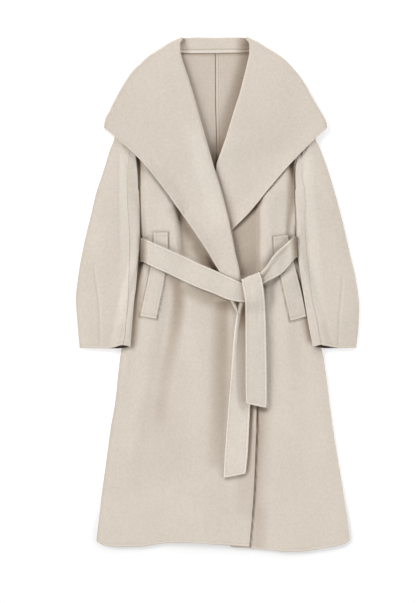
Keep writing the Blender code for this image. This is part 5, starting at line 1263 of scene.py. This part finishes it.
BELT_FOLDS = [
    dict(path=edge((262, 279), (269, 273), (277, 266)), height=-0.8, left=2.6, right=2.6, fade=(2, 8)),
    dict(path=edge((288, 258), (284, 264)), height=0.6, left=4, right=4, fade=(3, 3)),
    dict(path=edge((236, 284), (226, 281), (212, 277)), height=-0.8, left=3.0, right=3.0, fade=(3, 9)),
    dict(path=edge((238, 293), (228, 290), (218, 288)), height=-0.6, left=2.6, right=2.6, fade=(3, 8)),
    dict(path=edge((146, 252), (160, 258), (176, 264)), height=-0.45, left=4.0, right=4.0, fade=(4, 10)),
]


def belt_relief(u, v):
    total = 0.8 * undulation(1.7 * u, 1.7 * v)
    for f in BELT_FOLDS:
        total = total + crease(u, v, f["path"], f["height"], f["left"], f["right"], *f["fade"])
    return total


def build_band():
    """The belt's stretch round the waist, one strip through front and back."""
    first = [r for r in BAND[:9]]
    side_1, backs, side_2 = BAND[9], BAND[10:15], BAND[15]
    second = [r for r in BAND[16:]]

    def front_rows(table, start, end):
        a, b, q = rails(table, "up", "low", FINE, start, end)
        u, v = across_strip(a, b, 10, FOLDED)
        ground = highest(under_band, u, v, 3.0)
        by_knot = (smooth((u - 234) / 6) * smooth((272 - u) / 6))
        ground = np.maximum(ground, (knot_low() + BELT_STEP - AIR - BELT / 2) * by_knot)
        return a, b, u, v, lay_flat(u, v, ground, 20) + AIR + BELT / 2

    a1, b1, u1, v1, z1 = front_rows(first, ROUND, [FINE])
    a2, b2, u2, v2, z2 = front_rows(second, [FINE], ROUND)
    ab, bb, _ = rails(backs, "up", "low", COARSE, [FINE], [FINE])
    ub, vb = across_strip(ab, bb, 10, FOLDED)
    rows = [to_metres(u1[i], v1[i], z1[i] + belt_relief(u1[i], v1[i])) for i in range(len(z1))]

    def turn(side, high, sign, angles):
        l, s = np.array([side["up"]], float), np.array([side["low"]], float)
        u, v = across_strip(l, s, 10, FOLDED)
        rad = 0.5 * (high - BELT / 2)
        for a in angles:
            th = math.radians(a)
            rows.append(to_metres(u[0] + sign * 0.95 * BELT * math.cos(th) / SQUARE, v[0],
                                  0.5 * (high + BELT / 2) + rad * math.sin(th)))

    turn(side_1, z1[-1], -1.0, (75, 60, 45, 30, 15, 0, -15, -30, -45, -60, -75))
    rows += [to_metres(ub[i], vb[i], np.full(ub.shape[1], BELT / 2)) for i in range(len(ab))]
    turn(side_2, z2[0], 1.0, (-75, -60, -45, -30, -15, 0, 15, 30, 45, 60, 75))
    rows += [to_metres(u2[i], v2[i], z2[i] + belt_relief(u2[i], v2[i])) for i in range(len(z2))]
    middle = [0.5 * (a1 + b1), 0.5 * (a2 + b2)]
    order = np.argsort(np.concatenate([middle[0][:, 0], middle[1][:, 0]]))
    BELT_LINE["u"] = np.concatenate([middle[0][:, 0], middle[1][:, 0]])[order]
    BELT_LINE["z"] = np.concatenate([z1.max(axis=1), z2.max(axis=1)])[order] + BELT / 2
    BELT_LINE["up"] = np.concatenate([[r["up"] for r in first][::-1], [r["up"] for r in second][::-1][2:]])
    BELT_LINE["low"] = np.concatenate([[r["low"] for r in first][::-1], [r["low"] for r in second][::-1][2:]])
    mid = np.array(rows)
    # from the knot to the left side the belt is folded over along its upper edge, with painted shade where the fold
    # ends and a painted highlight on the fold
    d = reaches(mid)[2]
    start = len(rows) - len(z2)
    folded = np.zeros(len(rows))
    folded[start:] = smooth((296 - u2[:, 0]) / 6.0)
    width = reaches(mid)[3][:, :1]
    to = np.minimum(8.6, 0.34 * width)
    ridge = folded[:, None] * smooth(d / 1.0) * smooth((to - d) / 1.2)
    step = folded[:, None] * np.exp(-((d - to - 0.6) / 0.9) ** 2)
    return sheet("belt_band", mid, BELT, free=(0, 0, 1.1, 0.8), upper=1.7 * ridge - 0.3 * step,
                 tone_and_painted_light=0.34 * step - 0.05 * ridge, edge_shade=0.2)


def band_top(u, v):
    """Upper face of the belt's front stretches, or of the coat beside them."""
    ground = under_belt(u, v)
    top_line, low_line = BELT_LINE["up"].astype(float), BELT_LINE["low"].astype(float)
    z_here = np.interp(u, BELT_LINE["u"], BELT_LINE["z"])
    inside = ((v > along(top_line[:, 0], top_line[:, 1], u) - 4)
              & (v < along(low_line[:, 0], low_line[:, 1], u) + 4))
    return np.where(inside, np.maximum(z_here, ground), ground)


def build_tails():
    a, b, q = rails(UNDER_TAIL, "left", "right", FINE, ROUND, TURNED)
    u, v = across_strip(a, b)
    under_a = a
    z = lay_flat(u, v, highest(under_belt, u, v, 2.5), 16) + AIR + BELT / 2
    under_z = z.max(axis=1)
    cut_u, cut_v = blunt(*blunt(u, v, -1, -1, 2.6), -1, 0, 1.0)
    sheet("belt_tail_under", to_metres(cut_u, cut_v, z + tail_relief(u, v, UNDER_TAIL_FOLDS)), BELT,
          free=(0, 1, 1.1, 1.1))

    rows_l = np.array([r["left"] for r in UNDER_TAIL], float)
    rows_r = np.array([r["right"] for r in UNDER_TAIL], float)

    def tail_top(u, v):
        base = band_top(u, v)
        vv = np.clip(v, rows_l[0, 1], rows_l[-1, 1])
        on = ((u > at_row(rows_l, vv) - 4) & (u < at_row(rows_r, vv) + 4)
              & (v > rows_l[0, 1]) & (v < rows_l[-1, 1] + 4))
        level = np.interp(v, under_a[:, 1], under_z) + BELT / 2
        return np.where(on, np.maximum(base, level), base)

    over = [r for r in KNOT if r["lie"] in ("over", "tail")]
    a, b, q = rails(over, "left", "right", FINE, [FINE], TURNED)
    u, v = across_strip(a, b)
    z = lay_flat(u, v, highest(tail_top, u, v, 2.5), 18) + AIR + BELT / 2
    rows = []
    first = [r for r in KNOT if r["lie"] == "under"]
    z_low = knot_low()
    la, lb, _ = rails(first, "left", "right", FINE, ROUND, [FINE])
    lu, lv = across_strip(la, lb)
    rows += [to_metres(lu[i], lv[i], np.full(lu.shape[1], z_low)) for i in range(len(la))]
    t = [r for r in KNOT if r["lie"] == "turn"][0]
    l, s = np.array(t["left"], float), np.array(t["right"], float)
    up = np.array([s[1] - l[1], -(s[0] - l[0])])
    up /= np.linalg.norm(up)
    z_high = z[0]
    rad = 0.5 * (z_high - z_low)
    tu, tv = across_strip(l[None], s[None])
    for angle in (-80, -65, -50, -35, -20, -5, 10, 25, 40, 55, 70, 82):
        th = math.radians(angle)
        push = (0.9 * BELT * math.cos(th) - 0.6 * BELT) / SQUARE
        rows.append(to_metres(tu[0] + up[0] * push, tv[0] + up[1] * push,
                              np.full(tu.shape[1], z_low + rad * (1 + math.sin(th)))))
    cut_u, cut_v = blunt(*blunt(u, v, -1, -1, 2.4), -1, 0, 1.6)
    for k in range(len(a)):
        rows.append(to_metres(cut_u[k], cut_v[k], z[k] + tail_relief(u[k], v[k], KNOT_FOLDS)))
    sheet("belt_knot_tail", np.array(rows), BELT, free=(0, 1, 1.1, 1.1))


UNDER_TAIL_FOLDS = [
    # below the knot it is gathered: two rims with a hollow between, then one
    dict(path=edge((230.8, 297), (231.6, 302), (234.8, 308), (237, 314)), height=1.4, left=2.2, right=2.6, fade=(5, 4)),
    dict(path=edge((244.6, 297), (243, 302), (240.6, 308), (238.6, 314)), height=1.4, left=2.4, right=2.2, fade=(5, 4)),
    dict(path=edge((237.6, 312), (237.6, 322), (236.6, 334), (235, 352), (233, 380)), height=[1.2, 1.8, 1.6, 1.0, 0.4],
         left=3.2, right=2.6, fade=(3, 16)),
    dict(path=edge((240, 330), (237, 370), (235.6, 420)), height=0.5, left=5, right=6, fade=(14, 60)),
]
KNOT_FOLDS = [
    dict(path=edge((252, 280), (250.6, 292), (249.8, 306)), height=-0.8, left=2.4, right=2.8, fade=(4, 10)),
    dict(path=edge((258, 282), (258.8, 296), (258, 316), (257, 330)), height=-0.7, left=2.4, right=2.4, fade=(6, 16)),
    dict(path=edge((246, 296), (252, 303), (264, 305)), height=-0.5, left=3.0, right=3.0, fade=(5, 5)),
]


def tail_relief(u, v, folds):
    total = 0.7 * undulation(1.5 * u, 1.5 * v)
    for f in folds:
        total = total + crease(u, v, f["path"], f["height"], f["left"], f["right"], *f["fade"])
    return total


# -------------------------------------------------------------------- material


def wool(name, tint, edge_highlight_gain):
    """Brushed double-faced wool: melange colour, short nap, felted surface,
    with a painted highlight along the rolled edges and painted shade in folds and pressed lines."""
    mat = bpy.data.materials.new(name)
    mat.use_nodes = True
    tree = mat.node_tree
    nodes, links = tree.nodes, tree.links
    nodes.clear()
    out = nodes.new("ShaderNodeOutputMaterial")
    shader = nodes.new("ShaderNodeBsdfPrincipled")
    links.new(shader.outputs["BSDF"], out.inputs["Surface"])
    coord = nodes.new("ShaderNodeTexCoord")

    def noise(scale, detail, rough, stretch=(1, 1, 1), turn=0.0, offset=0.0):
        place = nodes.new("ShaderNodeMapping")
        place.inputs["Scale"].default_value = stretch
        place.inputs["Rotation"].default_value = (0, 0, turn)
        place.inputs["Location"].default_value = (offset, offset * 0.7, offset * 1.3)
        links.new(coord.outputs["Object"], place.inputs["Vector"])
        tex = nodes.new("ShaderNodeTexNoise")
        tex.inputs["Scale"].default_value = scale
        tex.inputs["Detail"].default_value = detail
        tex.inputs["Roughness"].default_value = rough
        links.new(place.outputs["Vector"], tex.inputs["Vector"])
        return tex.outputs["Fac"]

    def math_node(kind, a, b=None, c=None):
        node = nodes.new("ShaderNodeMath")
        node.operation = kind
        for socket, value in zip(node.inputs, (a, b, c)):
            if value is None:
                continue
            if isinstance(value, (int, float)):
                socket.default_value = value
            else:
                links.new(value, socket)
        return node.outputs[0]

    def centred(value, amount):
        return math_node("MULTIPLY", math_node("SUBTRACT", value, 0.5), amount)

    broad = noise(9.0, 2.0, 0.5, offset=0.31)
    cloud = noise(150.0, 3.0, 0.62, offset=0.17)
    mottle = noise(430.0, 3.0, 0.7, (1.0, 0.62, 1.0), offset=0.07)
    nap = noise(1050.0, 3.0, 0.72, (1.0, 0.30, 1.0), turn=0.12, offset=0.53)
    cross = noise(1250.0, 2.0, 0.7, (0.34, 1.0, 1.0), turn=-0.3, offset=0.71)

    tone_and_painted_light = math_node("ADD", centred(broad, 0.12), centred(cloud, 0.24))
    tone_and_painted_light = math_node("ADD", tone_and_painted_light, centred(mottle, 0.22))
    tone_and_painted_light = math_node("ADD", tone_and_painted_light, centred(nap, 0.15))
    tone_and_painted_light = math_node("ADD", tone_and_painted_light, centred(cross, 0.08))
    # a painted highlight along the turned-in edges, painted shade in the pressed lines behind them
    rim = nodes.new("ShaderNodeAttribute")
    rim.attribute_name = "rim"
    painted_groove_shade = nodes.new("ShaderNodeAttribute")
    painted_groove_shade.attribute_name = "painted_groove_shade"
    tone_and_painted_light = math_node("ADD", tone_and_painted_light, math_node("MULTIPLY", rim.outputs["Fac"], edge_highlight_gain))
    tone_and_painted_light = math_node("SUBTRACT", tone_and_painted_light, math_node("MULTIPLY", painted_groove_shade.outputs["Fac"], 0.08))
    value = math_node("ADD", tone_and_painted_light, 1.0)

    hue = nodes.new("ShaderNodeMix")
    hue.data_type = "RGBA"
    hue.inputs["A"].default_value = (*[c * f for c, f in zip(tint, (1.012, 1.0, 0.985))], 1.0)
    hue.inputs["B"].default_value = (*[c * f for c, f in zip(tint, (0.985, 0.995, 1.015))], 1.0)
    links.new(cloud, hue.inputs["Factor"])
    scaled = nodes.new("ShaderNodeVectorMath")
    scaled.operation = "SCALE"
    links.new(hue.outputs["Result"], scaled.inputs[0])
    links.new(value, scaled.inputs["Scale"])
    # the painted shade of folds and recesses is browner than the wool in the open
    shade = nodes.new("ShaderNodeAttribute")
    shade.attribute_name = "shade"
    light = math_node("MAXIMUM", math_node("SUBTRACT", 1.0, shade.outputs["Fac"]), 0.012)
    warm = nodes.new("ShaderNodeCombineXYZ")
    for socket, power in zip(warm.inputs, (0.86, 1.0, 1.15)):
        links.new(math_node("POWER", light, power), socket)
    darker = nodes.new("ShaderNodeVectorMath")
    darker.operation = "MULTIPLY"
    links.new(scaled.outputs["Vector"], darker.inputs[0])
    links.new(warm.outputs["Vector"], darker.inputs[1])
    none_below = nodes.new("ShaderNodeVectorMath")
    none_below.operation = "MAXIMUM"
    links.new(darker.outputs["Vector"], none_below.inputs[0])
    none_below.inputs[1].default_value = (0.01, 0.008, 0.006)
    links.new(none_below.outputs["Vector"], shader.inputs["Base Color"])

    rough = math_node("ADD", math_node("MULTIPLY", mottle, 0.10), 0.86)
    links.new(rough, shader.inputs["Roughness"])
    shader.inputs["Specular IOR Level"].default_value = 0.18
    shader.inputs["Sheen Weight"].default_value = 0.22
    shader.inputs["Sheen Roughness"].default_value = 0.55
    shader.inputs["Sheen Tint"].default_value = (1.0, 0.97, 0.93, 1.0)

    height = math_node("ADD", math_node("MULTIPLY", nap, 0.5), math_node("MULTIPLY", cross, 0.3))
    height = math_node("ADD", height, math_node("MULTIPLY", mottle, 0.55))
    height = math_node("ADD", height, math_node("MULTIPLY", cloud, 0.9))
    bump = nodes.new("ShaderNodeBump")
    bump.inputs["Strength"].default_value = 0.55
    bump.inputs["Distance"].default_value = 0.0009
    links.new(height, bump.inputs["Height"])
    links.new(bump.outputs["Normal"], shader.inputs["Normal"])
    return mat


def studio():
    scene = bpy.context.scene
    scene.view_settings.view_transform = "Standard"
    world = bpy.data.worlds.new("studio")
    scene.world = world
    world.use_nodes = True
    back = world.node_tree.nodes["Background"]
    back.inputs["Color"].default_value = (1.0, 1.0, 1.0, 1.0)
    back.inputs["Strength"].default_value = 0.18

    mesh = bpy.data.meshes.new("floor")
    mesh.from_pydata([(-4, -4, -0.0003), (4, -4, -0.0003), (4, 4, -0.0003), (-4, 4, -0.0003)], [], [(0, 1, 2, 3)])
    floor = bpy.data.objects.new("floor", mesh)
    scene.collection.objects.link(floor)
    # a pale floor that glows: painted light that lifts the coat's shadows off it, switched off in a patch under the
    # middle of the coat so the gaps there stay dark
    paper = bpy.data.materials.new("paper")
    paper.use_nodes = True
    tree = paper.node_tree
    p = tree.nodes["Principled BSDF"]
    p.inputs["Base Color"].default_value = (0.60, 0.60, 0.60, 1.0)
    p.inputs["Roughness"].default_value = 0.9
    p.inputs["Specular IOR Level"].default_value = 0.1
    p.inputs["Emission Color"].default_value = (1.0, 1.0, 1.0, 1.0)
    coord = tree.nodes.new("ShaderNodeTexCoord")
    split = tree.nodes.new("ShaderNodeSeparateXYZ")
    tree.links.new(coord.outputs["Object"], split.inputs["Vector"])
    covered = []
    for axis, middle, half in (("X", 0.0, 0.235), ("Y", 0.115, 0.225)):
        off = tree.nodes.new("ShaderNodeMath")
        off.operation = "SUBTRACT"
        off.inputs[1].default_value = middle
        tree.links.new(split.outputs[axis], off.inputs[0])
        size = tree.nodes.new("ShaderNodeMath")
        size.operation = "ABSOLUTE"
        tree.links.new(off.outputs[0], size.inputs[0])
        out = tree.nodes.new("ShaderNodeMath")
        out.operation = "GREATER_THAN"
        out.inputs[1].default_value = half
        tree.links.new(size.outputs[0], out.inputs[0])
        covered.append(out)
    either = tree.nodes.new("ShaderNodeMath")
    either.operation = "MAXIMUM"
    tree.links.new(covered[0].outputs[0], either.inputs[0])
    tree.links.new(covered[1].outputs[0], either.inputs[1])
    # less painted glow towards the hem, so the coat's shadow below it shows
    ramp = tree.nodes.new("ShaderNodeMapRange")
    ramp.interpolation_type = "SMOOTHSTEP"
    for socket, number in (("From Min", -0.57), ("From Max", -0.44), ("To Min", 0.345), ("To Max", 0.50)):
        ramp.inputs[socket].default_value = number
    tree.links.new(split.outputs["Y"], ramp.inputs["Value"])
    painted_floor_glow = tree.nodes.new("ShaderNodeMath")
    painted_floor_glow.operation = "MULTIPLY"
    tree.links.new(ramp.outputs["Result"], painted_floor_glow.inputs[1])
    tree.links.new(either.outputs[0], painted_floor_glow.inputs[0])
    tree.links.new(painted_floor_glow.outputs[0], p.inputs["Emission Strength"])
    mesh.materials.append(paper)

    # soft boxes round the table, the main one at the upper left: the way each
    # one lies from the coat (x, y), its height in degrees, strength and softness
    boxes = [("key", (-0.78, 0.63), 30, 2.16, 22), ("top", (0.35, 0.94), 24, 1.14, 24),
             ("left", (-0.95, -0.30), 22, 1.02, 24), ("low", (-0.1, -1.0), 24, 0.86, 24),
             ("right", (1.0, -0.1), 22, 1.04, 24), ("corner", (0.75, -0.66), 24, 0.60, 24)]
    for name, (x, y), height, energy, spread_by in boxes:
        lamp = bpy.data.lights.new(name, "SUN")
        lamp.energy = energy
        lamp.angle = math.radians(spread_by)
        holder = bpy.data.objects.new(name, lamp)
        flat = math.hypot(x, y)
        way = Vector((-x / flat * math.cos(math.radians(height)), -y / flat * math.cos(math.radians(height)),
                      -math.sin(math.radians(height))))
        holder.rotation_euler = way.to_track_quat("-Z", "Y").to_euler()
        scene.collection.objects.link(holder)

    cam = bpy.data.cameras.new("camera")
    far = 6.0
    cam.sensor_fit = "VERTICAL"
    cam.sensor_height = 36.0
    cam.lens = 36.0 * far / (603 * SQUARE / 1000)
    cam.clip_end = 50
    eye = bpy.data.objects.new("camera", cam)
    eye.location = ((208 - COL_CENTRE) * SQUARE / 1000, (ROW_CENTRE - 301.5) * SQUARE / 1000, far)
    scene.collection.objects.link(eye)
    scene.camera = eye


# -------------------------------------------------------------------- assembly

SHEETS = {
    # piece: (flat width, flat length, area, how it is held, what it lies on), m
    "back_right": (0.292, 1.180, 0.259, "laid", ["belt_band", "collar"]),
    "back_left": (0.324, 1.190, 0.276, "laid", ["belt_band", "collar"]),
    "front_left": (0.414, 1.205, 0.323, "laid", ["back_left", "back_right"]),
    "front_right": (0.392, 1.192, 0.305, "laid", ["back_right", "front_left"]),
    "collar": (0.30, 1.36, 0.271, "folded", ["front_right", "front_left"]),
    "sleeve_right_upper": (0.150, 0.630, 0.066, "laid", ["sleeve_right_under"]),
    "sleeve_right_under": (0.140, 0.600, 0.056, "laid", ["front_right"]),
    "sleeve_left_upper": (0.155, 0.630, 0.062, "laid", ["sleeve_left_under"]),
    "sleeve_left_under": (0.140, 0.600, 0.052, "laid", ["front_left"]),
    "welt_right": (0.041, 0.209, 0.0079, "laid", ["front_right"]),
    "welt_left": (0.042, 0.208, 0.0083, "laid", ["front_left"]),
    "belt_band": (0.058, 0.790, 0.0414, "folded", ["front_right", "front_left"]),
    "belt_knot_tail": (0.052, 0.350, 0.0168, "folded", ["belt_band", "belt_tail_under"]),
    "belt_tail_under": (0.056, 0.445, 0.0212, "laid", ["front_right", "front_left"]),
}


def main():
    build_panels()
    build_collar()
    build_sleeve("right")
    build_sleeve("left")
    build_welt("welt_right", WELT_R)
    build_welt("welt_left", WELT_L)
    build_band()
    build_tails()
    # the last number is how strong the painted highlight along the edges is
    coat = wool("wool_coat", (0.622, 0.559, 0.484), 0.055)
    belt = wool("wool_belt", (0.646, 0.584, 0.509), 0.17)
    for name, (wide, tall, area, held, under) in SHEETS.items():
        piece = PIECES[name]
        is_belt = name.startswith("belt")
        piece.data.materials.append(belt if is_belt else coat)
        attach(piece, "root")
        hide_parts(name)
    studio()


main()
